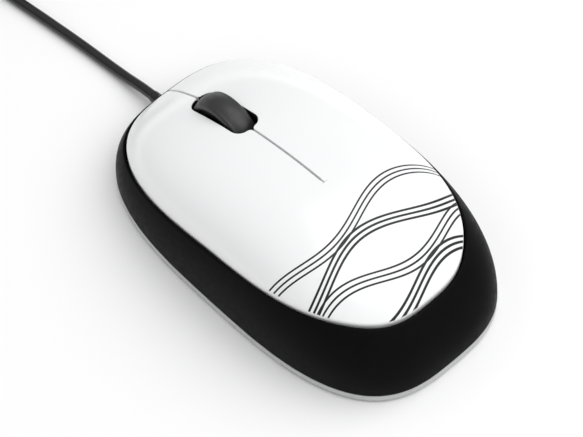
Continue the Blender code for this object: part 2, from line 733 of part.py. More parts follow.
def make_buttons():
    front = cover_point(math.radians(3))[1]
    low = (-SLOT_HALF_WIDTH, WHEEL_Y - tyre_reach(-1) - SLOT_REAR_GAP, 0.0)
    high = (SLOT_HALF_WIDTH, WHEEL_Y + tyre_reach(1) + SLOT_FRONT_GAP, 0.04)
    slot = rounded_block("wheel_slot", low, high, SLOT_CORNER)
    for side, name in ((-1, "left_button"), (1, "right_button")):
        rings = []
        for y in stations(FLEX_Y + SEAM_GAP / 2, front, 16):
            rings.append(skin_section(y, side * SLIT / 2, side * cover_half_width(y), 10))
        button = loft(name, rings)
        x = side * SWITCH_OFFSET
        low = (x - BOSS_SIZE / 2, SWITCH_Y - BOSS_SIZE / 2, PLUNGER_TOP_Z + SEAT_GAP / 2)
        high = (x + BOSS_SIZE / 2, SWITCH_Y + BOSS_SIZE / 2, 0.04)
        boss = combine(block(f"press_boss{side}", low, high), "INTERSECT", [CORE])
        combine(button, "UNION", [boss])
        combine(button, "DIFFERENCE", [slot])
        hinge = pivot(name + "_flex", (side * BODY_WIDTH / 4, FLEX_Y, FLEX_Z))
        keep(button, "white_gloss", hinge)


def make_board():
    narrow = BOARD_SIDE_X - BOARD_CORNER / 2
    right = [
        (BAY_HALF_WIDTH, BAY_REAR_Y),
        (BAY_HALF_WIDTH, BOARD_FRONT_Y),
        (narrow, BOARD_FRONT_Y),
        (BOARD_SIDE_X, BOARD_FRONT_Y - BOARD_CORNER),
        (BOARD_SIDE_X, BOARD_REAR_Y + BOARD_CORNER / 2),
        (narrow, BOARD_REAR_Y),
    ]
    left = [(-x, y) for x, y in reversed(right)]
    board = flat_plate("circuit_board", right + left, BOARD_Z, BOARD_TOP_Z)
    low = (-LENS_WINDOW[0] / 2 - 0.001, OPTIC_Y - LENS_WINDOW[1] / 2 - 0.001, 0.0)
    high = (LENS_WINDOW[0] / 2 + 0.001, OPTIC_Y + LENS_WINDOW[1] / 2 + 0.001, 0.01)
    cutters = [block("sensor_opening", low, high)]
    for sign in (-1, 1):
        spot = (sign * BOARD_SCREW_X, BOARD_SCREW_Y)
        hole = BOARD_SCREW_RADIUS + SEAT_GAP
        cutters.append(rod(f"board_hole{sign}", hole, (*spot, 0.0), (*spot, 0.01), 16))
    keep(combine(board, "DIFFERENCE", cutters), "board_green")
    for sign, name in ((-1, "left_board_screw"), (1, "right_board_screw")):
        keep(board_screw(name, sign), "steel")


def board_screw(name, side):
    top = MOUNT_Z + BOARD_SCREW_HEAD
    foot_z = MOUNT_Z - BOARD_SCREW_LENGTH
    profile = (
        (0.0, top),
        (BOARD_SCREW_RADIUS * 1.5, top),
        (BOARD_SCREW_RADIUS * 2.0, top - BOARD_SCREW_HEAD / 2),
        (BOARD_SCREW_RADIUS * 2.0, MOUNT_Z),
        (BOARD_SCREW_RADIUS, MOUNT_Z),
        (BOARD_SCREW_RADIUS, foot_z + 0.0006),
        (0.0, foot_z),
    )
    place = (side * BOARD_SCREW_X, BOARD_SCREW_Y, 0.0)
    screw = turned(name, profile, place, steps=12)
    slot_at = (place[0], place[1], top - SCREW_SLOT[2] / 2)
    return combine(screw, "DIFFERENCE", [centred_block(name + "_slot", slot_at, SCREW_SLOT)])


def make_switches():
    for side, name in ((-1, "left_switch"), (1, "right_switch")):
        x = side * SWITCH_OFFSET
        body = centred_block(name, (x, SWITCH_Y, MOUNT_Z), SWITCH_SIZE)
        depth = PLUNGER_DEPTH + PLUNGER_TRAVEL + SEAT_GAP
        well_size = (PLUNGER_SIZE[0] + 2 * SEAT_GAP, PLUNGER_SIZE[1] + 2 * SEAT_GAP, 0.01)
        well = centred_block(f"well{side}", (x, SWITCH_Y, SWITCH_TOP_Z - depth), well_size)
        keep(combine(body, "DIFFERENCE", [well]), "part_black")
        size = (PLUNGER_SIZE[0], PLUNGER_SIZE[1], PLUNGER_DEPTH + PLUNGER_SIZE[2])
        at = (x, SWITCH_Y, SWITCH_TOP_Z - PLUNGER_DEPTH)
        keep(centred_block(name + "_plunger", at, size), "part_white")

    x, y = CLICK_SWITCH_X, CLICK_SWITCH_Y
    body = centred_block("wheel_switch", (x, y, MOUNT_Z), CLICK_SWITCH_SIZE)
    well_radius = CLICK_PLUNGER_RADIUS + SEAT_GAP
    sunk = CLICK_TOP_Z - CLICK_PLUNGER_DEPTH
    start, end = (x, y, sunk - CLICK_TRAVEL), (x, y, CLICK_TOP_Z + 0.001)
    well = rod("click_well", well_radius, start, end)
    keep(combine(body, "DIFFERENCE", [well]), "part_black")
    top = CLICK_TOP_Z + CLICK_PLUNGER_HEIGHT
    plunger = rod("wheel_switch_plunger", CLICK_PLUNGER_RADIUS, (x, y, sunk), (x, y, top))
    keep(plunger, "part_white")


def make_optics():
    size = SENSOR_SIZE
    keep(centred_block("optical_sensor", (0, OPTIC_Y, MOUNT_Z), size), "part_black")
    low_z = FLOOR_Z + SEAT_GAP
    height = BOARD_Z - SEAT_GAP - low_z
    lens_y = OPTIC_Y - LENS_SIZE[1] / 2 + LENS_WINDOW[1] / 2 + 0.0035
    lens = centred_block("sensor_lens", (0, lens_y, low_z), (*LENS_SIZE, height))
    window_z = BASE_BOTTOM_Z + 0.0005
    place = (0, OPTIC_Y, window_z)
    window = centred_block("lens_window", place, (*LENS_WINDOW, low_z + 0.001 - window_z))
    keep(combine(lens, "UNION", [window]), "clear_plastic")

    lamp_z = MOUNT_Z + LED_RADIUS + LED_LIFT
    lamp_front = OPTIC_Y - SENSOR_SIZE[1] / 2 - SEAT_GAP
    dome = [
        (LED_RADIUS * math.sin(a), LED_RADIUS * (math.cos(a) - 1))
        for a in (math.pi / 12 * k for k in range(7))
    ]
    collar = LED_RADIUS + LED_COLLAR
    profile = dome + [
        (LED_RADIUS, -LED_LENGTH + 0.001),
        (collar, -LED_LENGTH + 0.001),
        (collar, -LED_LENGTH),
        (0.0, -LED_LENGTH),
    ]
    lamp = turned("led", profile, (0, lamp_front, lamp_z), (-math.pi / 2, 0, 0), 20)
    keep(lamp, "red_lamp")
    clip_y = lamp_front - LED_LENGTH / 2 + 0.0005
    clip_size = (2 * (LED_RADIUS + CLIP_WALL), CLIP_LENGTH, 2 * LED_RADIUS + CLIP_TOP)
    clip = centred_block("led_clip", (0, clip_y, MOUNT_Z), clip_size)
    bore = LED_RADIUS + AXLE_CLEARANCE
    back, front = clip_y - CLIP_LENGTH, clip_y + CLIP_LENGTH
    bed = rod("lamp_bed", bore, (0, back, lamp_z), (0, front, lamp_z))
    door = block("lamp_door", (-bore, back, MOUNT_Z - 0.001), (bore, front, lamp_z))
    keep(combine(clip, "DIFFERENCE", [bed, door]), "part_black")


def make_board_parts():
    radius, height = CAPACITOR_RADIUS, CAPACITOR_HEIGHT
    profile = (
        (0.0, height),
        (radius - 0.0003, height),
        (radius, height - 0.0003),
        (radius, 0.0016),
        (radius - 0.0003, 0.0012),
        (radius, 0.0008),
        (radius, 0.0),
        (0.0, 0.0),
    )
    keep(turned("capacitor", profile, (*CAPACITOR_SPOT, MOUNT_Z), steps=20), "part_blue")
    chip = centred_block("controller_chip", (*CHIP_SPOT, MOUNT_Z), CHIP_SIZE)
    keep(soften(chip, 0.0003, 1), "part_black")
    header = centred_block("cable_header", (HEADER_X, HEADER_Y, MOUNT_Z), HEADER_SIZE)
    floor_z = MOUNT_Z + HEADER_SIZE[2] - HEADER_SOCKET[2]
    size = (*HEADER_SOCKET[:2], HEADER_SIZE[2])
    socket = centred_block("header_socket", (HEADER_X, HEADER_Y, floor_z), size)
    keep(combine(header, "DIFFERENCE", [socket]), "part_white")
    eye_x = BAY_HALF_WIDTH + EYE_GAP + EYE_SIZE[0] / 2
    beam = ENCODER_RADIUS * math.sqrt(0.5)  # behind the axle and as far below it
    for side, name in ((-1, "wheel_light_emitter"), (1, "wheel_light_detector")):
        size = (*EYE_SIZE, WHEEL_Z - beam + EYE_ABOVE_BEAM - MOUNT_Z)
        eye = centred_block(name, (side * eye_x, WHEEL_Y - beam, MOUNT_Z), size)
        keep(soften(eye, 0.0004, 1), "clear_plastic" if side < 0 else "part_black")


def make_wheel():
    axle = pivot("wheel_axle", (0, WHEEL_Y, WHEEL_Z))
    tread = []
    half = WHEEL_WIDTH / 2
    count = 8
    for i in range(count + 1):
        x = half * math.cos(math.pi * i / count)
        tread.append((WHEEL_RADIUS - TREAD_CROWN * abs(x / half) ** 4, x))
    inner = WHEEL_RADIUS - TYRE_THICKNESS
    profile = tread + [(inner, HUB_EDGE - half), (inner, half - HUB_EDGE)]
    across = (0, math.pi / 2, 0)
    spot = (0, WHEEL_Y, WHEEL_Z)
    keep(turned("wheel_tyre", profile, spot, across, 32, ring=True), "rubber", axle)

    rim_half = half - HUB_EDGE
    boss_half = ARM_X - SEAT_GAP
    axle_end = ARM_OUTER_X + 0.0010
    corners = (
        (AXLE_RADIUS, axle_end),
        (AXLE_RADIUS, boss_half),
        (AXLE_RADIUS * 2, boss_half),
        (AXLE_RADIUS * 2, HUB_WEB),
        (HUB_RADIUS - HUB_RIM, HUB_WEB),
        (HUB_RADIUS - HUB_RIM, rim_half),
        (HUB_RADIUS, rim_half),
    )
    profile = [(0.0, axle_end), *corners, *[(r, -x) for r, x in reversed(corners)]]
    profile.append((0.0, -axle_end))
    hub = turned("wheel_hub", profile, spot, across, 28)
    holes = []
    for k in range(ENCODER_HOLES):
        angle = 2 * math.pi * (k + 0.5) / ENCODER_HOLES
        y = WHEEL_Y + ENCODER_RADIUS * math.sin(angle)
        z = WHEEL_Z - ENCODER_RADIUS * math.cos(angle)
        start, end = (-2 * HUB_WEB, y, z), (2 * HUB_WEB, y, z)
        holes.append(rod(f"encoder_hole{k}", ENCODER_HOLE_RADIUS, start, end, 8))
    keep(combine(hub, "DIFFERENCE", holes), "part_white", axle)


def make_carrier():
    """Two arms beside the wheel, joined ahead of it and behind it, with pivot pins in front."""
    rear_y = WHEEL_Y - WHEEL_RADIUS - REAR_CROSS_BEHIND
    pin_end = ARM_OUTER_X + SEAT_GAP + PIVOT_POST - 0.0002
    bore = AXLE_RADIUS + AXLE_CLEARANCE
    pieces, bores = [], []
    for side in (-1, 1):
        inner = (side * ARM_X, WHEEL_Y, WHEEL_Z)
        outer = (side * ARM_OUTER_X, WHEEL_Y, WHEEL_Z)
        pieces.append(rod(f"arm_ring{side}", ARM_RING, inner, outer))
        middle = side * (ARM_X + ARM_OUTER_X) / 2
        axle_at = (WHEEL_Y, WHEEL_Z)
        pieces.append(arm_bar(f"front_bar{side}", middle, axle_at, (PIVOT_Y, PIVOT_Z)))
        pieces.append(arm_bar(f"rear_bar{side}", middle, axle_at, (rear_y, WHEEL_Z - 0.001)))
        start = (side * (ARM_X + 0.0002), PIVOT_Y, PIVOT_Z)
        end = (side * pin_end, PIVOT_Y, PIVOT_Z)
        pieces.append(rod(f"pivot_pin{side}", PIVOT_RADIUS, start, end, 16))
        start = (side * (ARM_X - 0.001), WHEEL_Y, WHEEL_Z)
        end = (side * (ARM_OUTER_X + 0.001), WHEEL_Y, WHEEL_Z)
        bores.append(rod(f"arm_bore{side}", bore, start, end))
    half = ARM_X + ARM_WALL / 2
    start, end = (-half, PIVOT_Y, PIVOT_Z), (half, PIVOT_Y, PIVOT_Z)
    pieces.append(rod("front_cross", CROSS_RADIUS, start, end, 12))
    low = (-half, rear_y - 0.0008, WHEEL_Z - 0.0022)
    pieces.append(block("rear_cross", low, (half, rear_y + 0.0008, WHEEL_Z + 0.0002)))
    pieces += press_arm()
    carrier = combine(pieces[0], "UNION", pieces[1:])
    carrier.name = "wheel_carrier"
    combine(carrier, "DIFFERENCE", bores)
    keep(carrier, "part_black", pivot("carrier_pivot", (0, PIVOT_Y, PIVOT_Z)))


def press_arm():
    """The carrier's side arm and the foot on it, which stands on the click switch."""
    half = PRESS_FOOT / 2
    press_z = CLICK_TOP_Z + CLICK_PLUNGER_HEIGHT + SEAT_GAP / 2
    low = (CLICK_SWITCH_X - half, CLICK_SWITCH_Y - half, press_z)
    high = (CLICK_SWITCH_X + half, CLICK_SWITCH_Y + half, WHEEL_Z)
    foot_pad = block("press_foot", low, high)
    low = (ARM_X + 0.0003, CLICK_SWITCH_Y - 0.0009, WHEEL_Z - 0.0018)
    high = (CLICK_SWITCH_X, CLICK_SWITCH_Y + 0.0009, WHEEL_Z - 0.0002)
    return [foot_pad, block("press_outrigger", low, high)]


def arm_bar(name, x, start, end):
    """A straight bar in an arm's plane, between two (y, z) places."""
    along_y, along_z = end[0] - start[0], end[1] - start[1]
    length = math.hypot(along_y, along_z)
    bar = centred_block(name, (0, 0, -length / 2), (ARM_WALL, ARM_HEIGHT, length))
    bar.location = (x, (start[0] + end[0]) / 2, (start[1] + end[1]) / 2)
    bar.rotation_euler = (math.atan2(-along_y, along_z), 0, 0)
    return bar


def make_cord():
    collar_y = FRONT_Y + SEAT_GAP
    end_y = collar_y + BOOT_LENGTH
    profile = (
        (0.0, end_y),
        (CORD_RADIUS + BOOT_TIP_WALL, end_y),
        (NECK_RADIUS, collar_y + COLLAR_LENGTH + COLLAR_STEP),
        (COLLAR_RADIUS, collar_y + COLLAR_LENGTH),
        (COLLAR_RADIUS, collar_y),
        (NECK_RADIUS, collar_y),
        (NECK_RADIUS, FLANGE_FRONT_Y),
        (FLANGE_RADIUS, FLANGE_FRONT_Y),
        (FLANGE_RADIUS, FLANGE_REAR_Y),
        (0.0, FLANGE_REAR_Y),
    )
    place = (0, 0, CORD_EXIT_Z)
    boot = turned("strain_relief", profile, place, (-math.pi / 2, 0, 0), 20)
    keep(boot, "rubber")

    lead_end = HEADER_Y + HEADER_SIZE[1] / 2 + SEAT_GAP
    lane = -(BAY_HALF_WIDTH + 0.0013)
    switch_end = SWITCH_Y - SWITCH_SIZE[1] / 2
    lead = [
        (0, FLANGE_REAR_Y - SEAT_GAP, CORD_EXIT_Z),
        (0, FLANGE_REAR_Y - 0.0012, CORD_EXIT_Z),
        (-0.0030, FRONT_Y - 0.0076, CORD_EXIT_Z + 0.0005),
        (lane + 0.0024, FRONT_Y - 0.0072, MOUNT_Z + 0.0007),
        (lane, FRONT_Y - 0.0105, MOUNT_Z + 0.0016),
        (lane, FRONT_Y - 0.0160, MOUNT_Z + 0.0018),
        (lane, switch_end + 0.0020, MOUNT_Z + 0.0018),
        (lane - 0.0017, switch_end - 0.0025, MOUNT_Z + 0.0019),
        (HEADER_X, switch_end - 0.0065, MOUNT_Z + 0.0020),
        (HEADER_X, lead_end, MOUNT_Z + 0.0020),
    ]
    keep(tube("inner_leads", lead, LEAD_DIAMETER, 0.0030), "part_black")

    run = [
        (0, end_y + SEAT_GAP, CORD_EXIT_Z),
        (-0.0001, 0.0600, 0.0032),
        (-0.0003, 0.0660, 0.0021),
        (-0.0007, 0.0730, CORD_REST_Z + 0.0001),
        (-0.0015, 0.0830, CORD_REST_Z),
        (-0.0028, 0.0950, CORD_REST_Z),
        (-0.0043, 0.1080, CORD_REST_Z),
        (-0.0056, 0.1205, CORD_REST_Z + 0.0009),
    ]
    keep(tube("cable_run", run, CORD_DIAMETER, 0.0055), "rubber")
    tail = [
        (-0.0032, 0.1183, 0.0088),
        (-0.0065, 0.1174, 0.0080),
        (-0.0120, 0.1165, 0.0064),
        (-0.0180, 0.1180, 0.0050),
        (-0.0215, 0.1222, 0.0043),
        (PLUG_X, PLUG_Y - SEAT_GAP, PLUG_Z),
    ]
    keep(tube("cable_tail", tail, CORD_DIAMETER, 0.0030), "rubber")

    half, corner = COIL_SIDE / 2, COIL_CORNER
    inner, outer = COIL_RADIUS - half, COIL_RADIUS + half
    profile = (
        (inner + corner, COIL_SIDE),
        (outer - corner, COIL_SIDE),
        (outer, COIL_SIDE - corner),
        (outer, corner),
        (outer - corner, 0.0),
        (inner + corner, 0.0),
        (inner, corner),
        (inner, COIL_SIDE - corner),
    )
    keep(turned("cable_coil", profile, (*COIL_CENTRE, COIL_LIFT), steps=36, ring=True), "rubber")
    make_tie()


def make_tie():
    """A strap round the coil's turns, on its far side."""
    y = COIL_CENTRE[1] + COIL_RADIUS
    hole = COIL_SIDE / 2 + 1.2 * SEAT_GAP
    wall = hole + TIE_WALL
    x = COIL_CENTRE[0]
    middle = COIL_LIFT + COIL_SIDE / 2
    low = (x - TIE_WIDTH / 2, y - wall, 0.0)
    strap = block("cable_tie", low, (x + TIE_WIDTH / 2, y + wall, middle + wall))
    low = (x - TIE_WIDTH, y - hole, COIL_LIFT - SEAT_GAP)
    inside = block("tie_inside", low, (x + TIE_WIDTH, y + hole, middle + hole))
    keep(combine(strap, "DIFFERENCE", [inside]), "part_black")


def make_plug():
    grip_y = PLUG_Y + PLUG_BOOT_LENGTH
    start, end = (PLUG_X, PLUG_Y, PLUG_Z), (PLUG_X, grip_y - SEAT_GAP, PLUG_Z)
    tip, root = CORD_RADIUS + 0.0003, CORD_RADIUS + PLUG_BOOT_WALL
    boot = rod("plug_boot", tip, start, end, 20, root)
    keep(boot, "rubber")
    width, length, height = PLUG_GRIP_SIZE
    low_z = PLUG_Z - height / 2
    grip = centred_block("plug_grip", (PLUG_X, grip_y + length / 2, low_z), PLUG_GRIP_SIZE)
    keep(soften(grip, 0.0012), "black_matte")
    shell_y = grip_y + length + SEAT_GAP
    width, length, height = PLUG_SHELL_SIZE
    low = (PLUG_X - width / 2, shell_y, PLUG_Z - height / 2)
    shell = block("plug_shell", low, (PLUG_X + width / 2, shell_y + length, PLUG_Z + height / 2))
    wall = PLUG_SHELL_WALL
    low = (PLUG_X - width / 2 + wall, shell_y + PLUG_SHELL_BACK, PLUG_Z - height / 2 + wall)
    high = (PLUG_X + width / 2 - wall, shell_y + length + 0.001, PLUG_Z + height / 2 - wall)
    hollow = block("plug_hollow", low, high)
    windows = []
    for side in (-1, 1):
        at = (PLUG_X + side * PLUG_WINDOW_AT[0], shell_y + PLUG_WINDOW_AT[1], PLUG_Z)
        windows.append(centred_block(f"plug_window{side}", at, PLUG_WINDOW))
    keep(combine(shell, "DIFFERENCE", [hollow, *windows]), "tin")
    tongue_z = PLUG_Z - height / 2 + wall + SEAT_GAP / 2
    tongue_y = shell_y + PLUG_SHELL_BACK + SEAT_GAP / 2 + PLUG_TONGUE_SIZE[1] / 2
    at = (PLUG_X, tongue_y, tongue_z)
    keep(centred_block("plug_tongue", at, PLUG_TONGUE_SIZE), "part_white")


clear_scene()
MOUSE = collection("computer_mouse")
CUTTERS = collection("cutters")
CUTTERS.hide_render = True

# Heights that follow from the form
FLEX_Z = form_z(BODY_WIDTH / 4, FLEX_Y) - COVER_WALL / 2
WHEEL_Z = form_z(0, WHEEL_Y) + WHEEL_PROUD - WHEEL_RADIUS
PIVOT_Z = WHEEL_Z - PIVOT_DROP
CORE = form_core("form_core", COVER_WALL / 2)

make_feet_and_base()
make_band()
make_palm_cover()
make_buttons()
make_board()
make_switches()
make_optics()
make_board_parts()
make_wheel()
make_carrier()
make_cord()
make_plug()
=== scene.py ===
"""Looks of a corded mouse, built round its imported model.

Metres, +Z up, +Y towards the cord, with the origin on the desk under the body's middle.
The shells follow the form that the casing is cut from: a rounded outline under a crown.
"""

import math

import bmesh
import bpy
import numpy as np
from mathutils import Matrix, Vector
from mathutils.geometry import delaunay_2d_cdt


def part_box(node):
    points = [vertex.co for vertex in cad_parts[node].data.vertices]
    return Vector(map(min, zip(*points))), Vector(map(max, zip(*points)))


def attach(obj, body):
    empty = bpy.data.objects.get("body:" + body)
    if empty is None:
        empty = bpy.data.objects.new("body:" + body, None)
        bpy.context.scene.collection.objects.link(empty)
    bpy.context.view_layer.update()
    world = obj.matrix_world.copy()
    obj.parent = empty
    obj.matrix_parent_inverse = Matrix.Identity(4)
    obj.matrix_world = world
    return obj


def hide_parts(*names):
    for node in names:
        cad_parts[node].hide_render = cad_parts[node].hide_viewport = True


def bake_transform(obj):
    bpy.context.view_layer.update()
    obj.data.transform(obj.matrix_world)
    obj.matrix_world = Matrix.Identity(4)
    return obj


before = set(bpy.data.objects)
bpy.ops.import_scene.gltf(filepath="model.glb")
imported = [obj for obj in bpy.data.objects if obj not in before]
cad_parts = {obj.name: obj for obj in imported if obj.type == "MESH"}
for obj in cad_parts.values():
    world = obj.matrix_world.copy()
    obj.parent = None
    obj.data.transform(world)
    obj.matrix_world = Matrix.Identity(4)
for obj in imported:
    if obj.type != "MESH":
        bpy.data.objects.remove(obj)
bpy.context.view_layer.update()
MM = 0.001

# The camera
CAMERA_TURN = math.radians(-40.63)
CAMERA_RISE = math.radians(55.81)
CAMERA_ROLL = math.radians(-2.82)
CAMERA_TARGET = Vector((-5.42, -2.04, 15.0)) * MM
CAMERA_DISTANCE = 666.1 * MM
CAMERA_LENS = 170.6

# The light
SOFTBOX_PLACE = Vector((0.38, -0.28, 0.95))
SOFTBOX_AIM = Vector((0, 0, 0.01))
SOFTBOX_SIDE = 1.3
SOFTBOX_POWER = 9.0
FLOOR_HALF = 3.0

# The form, as the casing has it
HALF_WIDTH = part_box("base_plate")[1].x
HALF_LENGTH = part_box("base_plate")[1].y
FORM_FOOT_Z = 0.8 * MM
FORM_POWER = 3.0
CROWN = (30.68 * MM, -5.36 * MM, -9.79 * MM, 4.92 * MM)
SEAM = (0.887, 0.056, -0.009, -0.006, 0.006, -0.003)
SEAM_NOSE = 0.024
SEAM_NOSE_POWER = 16
SEAM_GAP = 0.3 * MM
COVER_WALL = 1.6 * MM
BAND_WALL = 1.8 * MM
LEDGE_WIDTH = 1.5 * MM
LEDGE_DROP = 1.2 * MM

# The band, and its arch over the cord's boot
BAND_FOOT_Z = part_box("side_band")[0].z
BAND_ROWS = 22
BAND_DENSE = 80
BAND_EDGE_STEPS = 5
BAND_INNER_ROWS = 6
ARCH_RADIUS = 1.95 * MM
ARCH_STEPS = 8

# Splits in the cover
FLEX_Y = -8.3 * MM
SPLIT_Y = -14.0 * MM
SLIT = 0.5 * MM
SLIT_FADE = 1.5 * MM
SLOT_SIDE_GAP = 0.55 * MM
SLOT_FRONT_GAP = 0.5 * MM
SLOT_REAR_GAP = 2.2 * MM
SLOT_CORNER = 3.0 * MM
SLOT_MOUTH = 0.9 * MM

# The wheel
WHEEL_LOW, WHEEL_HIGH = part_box("wheel_tyre")
WHEEL_CENTRE = (WHEEL_LOW + WHEEL_HIGH) / 2
WHEEL_RADIUS = (WHEEL_HIGH.z - WHEEL_LOW.z) / 2
TYRE_HALF = WHEEL_HIGH.x
TYRE_THICKNESS = 2.2 * MM
SLOT_HALF = TYRE_HALF + SLOT_SIDE_GAP

TYRE_DOME = 0.55 * MM
TYRE_SHOULDER = 0.95 * MM
TYRE_LIP = 0.25 * MM

# The base plate
BASE_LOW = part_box("base_plate")[0].z
BASE_RIM = 2.8 * MM
BASE_EDGE = 0.5 * MM
BASE_CHAMFER = 0.15 * MM

# The printed waves, in millimetres
WAVE_BUNDLES = 4
WAVE_START = -19.5
WAVE_STEP = 7.0
WAVE_SWING = 2.8
WAVE_LENGTH = 46.0
WAVE_PITCH = 1.25
WAVE_LINES = (0.44, 0.58)

# Roundings
SEAM_ROUND = 0.35 * MM
SLIT_ROUND = 0.16 * MM
SLOT_ROUND = 0.22 * MM
BAND_ROUND = 0.75 * MM
SKIN_STEP = 1.25 * MM
SKIN_CLEAR = 0.62 * SKIN_STEP
EDGE_STEPS = 4
MITRE_LIMIT = 0.35
WALL_LEAN = 0.2

# The cord
CORD_DIAMETER = 2.7 * MM
CORD_RADIUS = CORD_DIAMETER / 2
CORD_EXIT = Vector((0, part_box("strain_relief")[1].y, 3.7 * MM))
CORD_REST_Z = CORD_RADIUS + 0.1 * MM
COIL_CENTRE = Vector((10.0, 137.0)) * MM
COIL_RADIUS = 16.0 * MM
COIL_PITCH = 2.75 * MM
COIL_LIFT = 0.9 * MM
COIL_ROWS = 4
COIL_START = math.radians(205)
COIL_TURNS = 14
COIL_TURN_STEPS = 44
COIL_SWEEP = math.radians(COIL_TURNS * 360 - 52)
COIL_SHIFT = math.radians(43)
PLUG_AXIS = Vector((-22.5, 0, 4.1)) * MM
PLUG_RIB = 0.25 * MM
PLUG_RIBS = 5
PLUG_EDGE = 0.35 * MM


# ---------------------------------------------------------------- camera and cord


def make_camera():
    back = Vector((
        math.sin(CAMERA_TURN) * math.cos(CAMERA_RISE),
        -math.cos(CAMERA_TURN) * math.cos(CAMERA_RISE),
        math.sin(CAMERA_RISE),
    ))
    level = Vector((math.cos(CAMERA_TURN), math.sin(CAMERA_TURN), 0))
    right = Matrix.Rotation(CAMERA_ROLL, 3, back) @ level
    turn = Matrix((right, back.cross(right), back)).transposed()
    data = bpy.data.cameras.new("camera")
    data.lens = CAMERA_LENS
    data.clip_start, data.clip_end = 0.01, 20.0
    camera = bpy.data.objects.new("camera", data)
    bpy.context.scene.collection.objects.link(camera)
    place = Matrix.Translation(CAMERA_TARGET + back * CAMERA_DISTANCE)
    camera.matrix_world = place @ turn.to_4x4()
    bpy.context.scene.camera = camera


def smooth_route(points, spacing):
    """Points about spacing apart on a smooth curve through the given ones."""
    ends = [2 * points[0] - points[1], *points, 2 * points[-1] - points[-2]]
    route = []
    for before, start, end, after in zip(ends, ends[1:], ends[2:], ends[3:]):
        steps = max(1, round((end - start).length / spacing))
        for i in range(steps):
            t = i / steps
            bend = (2 * before - 5 * start + 4 * end - after) * t * t
            twist = (3 * start - before - 3 * end + after) * t ** 3
            route.append((2 * start + (end - before) * t + bend + twist) / 2)
    route.append(points[-1])
    return route


def ease(t):
    t = min(1.0, max(0.0, t))
    return t * t * (3 - 2 * t)


def coil_places():
    """(radius, height) of each turn: a square stack, filled from its lowest outer place."""
    places = []
    for row in range(COIL_ROWS):
        columns = range(COIL_ROWS)
        for column in columns if row % 2 else reversed(columns):
            radius = COIL_RADIUS + (column - (COIL_ROWS - 1) / 2) * COIL_PITCH
            places.append((radius, COIL_LIFT + CORD_RADIUS + row * COIL_PITCH))
    return places


def coil_route():
    """The turns, clockwise from above. Each place is left just before the turn comes round
    again, so that the next one finds it free."""
    places = coil_places()
    each = COIL_SWEEP / len(places)
    steps = COIL_TURN_STEPS * COIL_TURNS
    route = []
    for i in range(steps + 1):
        sweep = COIL_SWEEP * i / steps
        at = min(int(sweep / each), len(places) - 1)
        after = min(at + 1, len(places) - 1)
        share = ease((sweep - (at + 1) * each + COIL_SHIFT) / COIL_SHIFT)
        radius = places[at][0] + (places[after][0] - places[at][0]) * share
        height = places[at][1] + (places[after][1] - places[at][1]) * share
        angle = COIL_START - sweep
        x = COIL_CENTRE.x + radius * math.cos(angle)
        y = COIL_CENTRE.y + radius * math.sin(angle)
        route.append(Vector((x, y, height)))
    return route


def cord_route():
    """From the boot down to the desk, into the coil, and off it to the plug."""
    run = [
        Vector((0, CORD_EXIT.y - SEAM_GAP, CORD_EXIT.z)),
        Vector((-0.0001, 0.0600, 0.0032)),
        Vector((-0.0003, 0.0660, 0.0021)),
        Vector((-0.0007, 0.0730, CORD_REST_Z + 0.0001)),
        Vector((-0.0015, 0.0830, CORD_REST_Z)),
        Vector((-0.0028, 0.0950, CORD_REST_Z)),
        Vector((-0.0043, 0.1080, CORD_REST_Z)),
        Vector((-0.0056, 0.1205, CORD_REST_Z + 0.0009)),
    ]
    coil = coil_route()
    tail = [
        Vector((-0.0032, 0.1183, 0.0092)),
        Vector((-0.0065, 0.1174, 0.0080)),
        Vector((-0.0120, 0.1165, 0.0064)),
        Vector((-0.0180, 0.1180, 0.0050)),
        Vector((-0.0215, 0.1222, 0.0043)),
        Vector((PLUG_AXIS.x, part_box("plug_boot")[0].y - SEAM_GAP / 2, PLUG_AXIS.z)),
    ]
    first = smooth_route([*run, coil[0], coil[2]], 1.6 * MM)
    last = smooth_route([coil[-3], coil[-1], *tail], 1.4 * MM)
    return first[:first.index(coil[0])] + coil[:-1] + last[last.index(coil[-1]):]


def make_cord():
    curve = bpy.data.curves.new("mouse_cord", "CURVE")
    curve.dimensions = "3D"
    curve.bevel_depth = CORD_RADIUS
    curve.bevel_resolution = 6
    curve.use_fill_caps = True
    route = cord_route()
    spline = curve.splines.new("POLY")
    spline.points.add(len(route) - 1)
    for point, place in zip(spline.points, route):
        point.co = (*place, 1)
    spline.use_smooth = True
    cord = bpy.data.objects.new("mouse_cord", curve)
    bpy.context.scene.collection.objects.link(cord)
    curve.materials.append(CORD_LOOK)
    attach(cord, "casing")
    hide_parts("cable_run", "cable_coil", "cable_tail")
    return cord


# ---------------------------------------------------------------- node materials


class Field:
    """A number that varies over a surface. Arithmetic on it adds Math nodes."""

    def __init__(self, tree, socket):
        self.tree = tree
        self.socket = socket

    def math(self, operation, *others):
        node = self.tree.nodes.new("ShaderNodeMath")
        node.operation = operation
        self.tree.links.new(self.socket, node.inputs[0])
        for spot, other in enumerate(others, 1):
            if isinstance(other, Field):
                self.tree.links.new(other.socket, node.inputs[spot])
            else:
                node.inputs[spot].default_value = other
        return Field(self.tree, node.outputs[0])

    def __add__(self, other):
        return self.math("ADD", other)

    def __sub__(self, other):
        return self.math("SUBTRACT", other)

    def __mul__(self, other):
        return self.math("MULTIPLY", other)

    def most(self, other):
        return self.math("MAXIMUM", other)

    def size(self):
        return self.math("ABSOLUTE")

    def ramp(self, start, end, low=0.0, high=1.0):
        """low where it is start, high where it is end, and smooth in between."""
        node = self.tree.nodes.new("ShaderNodeMapRange")
        node.interpolation_type = "SMOOTHSTEP"
        self.tree.links.new(self.socket, node.inputs["Value"])
        for name, value in zip(("From Min", "From Max", "To Min", "To Max"), (start, end, low, high)):
            node.inputs[name].default_value = value
        return Field(self.tree, node.outputs["Result"])


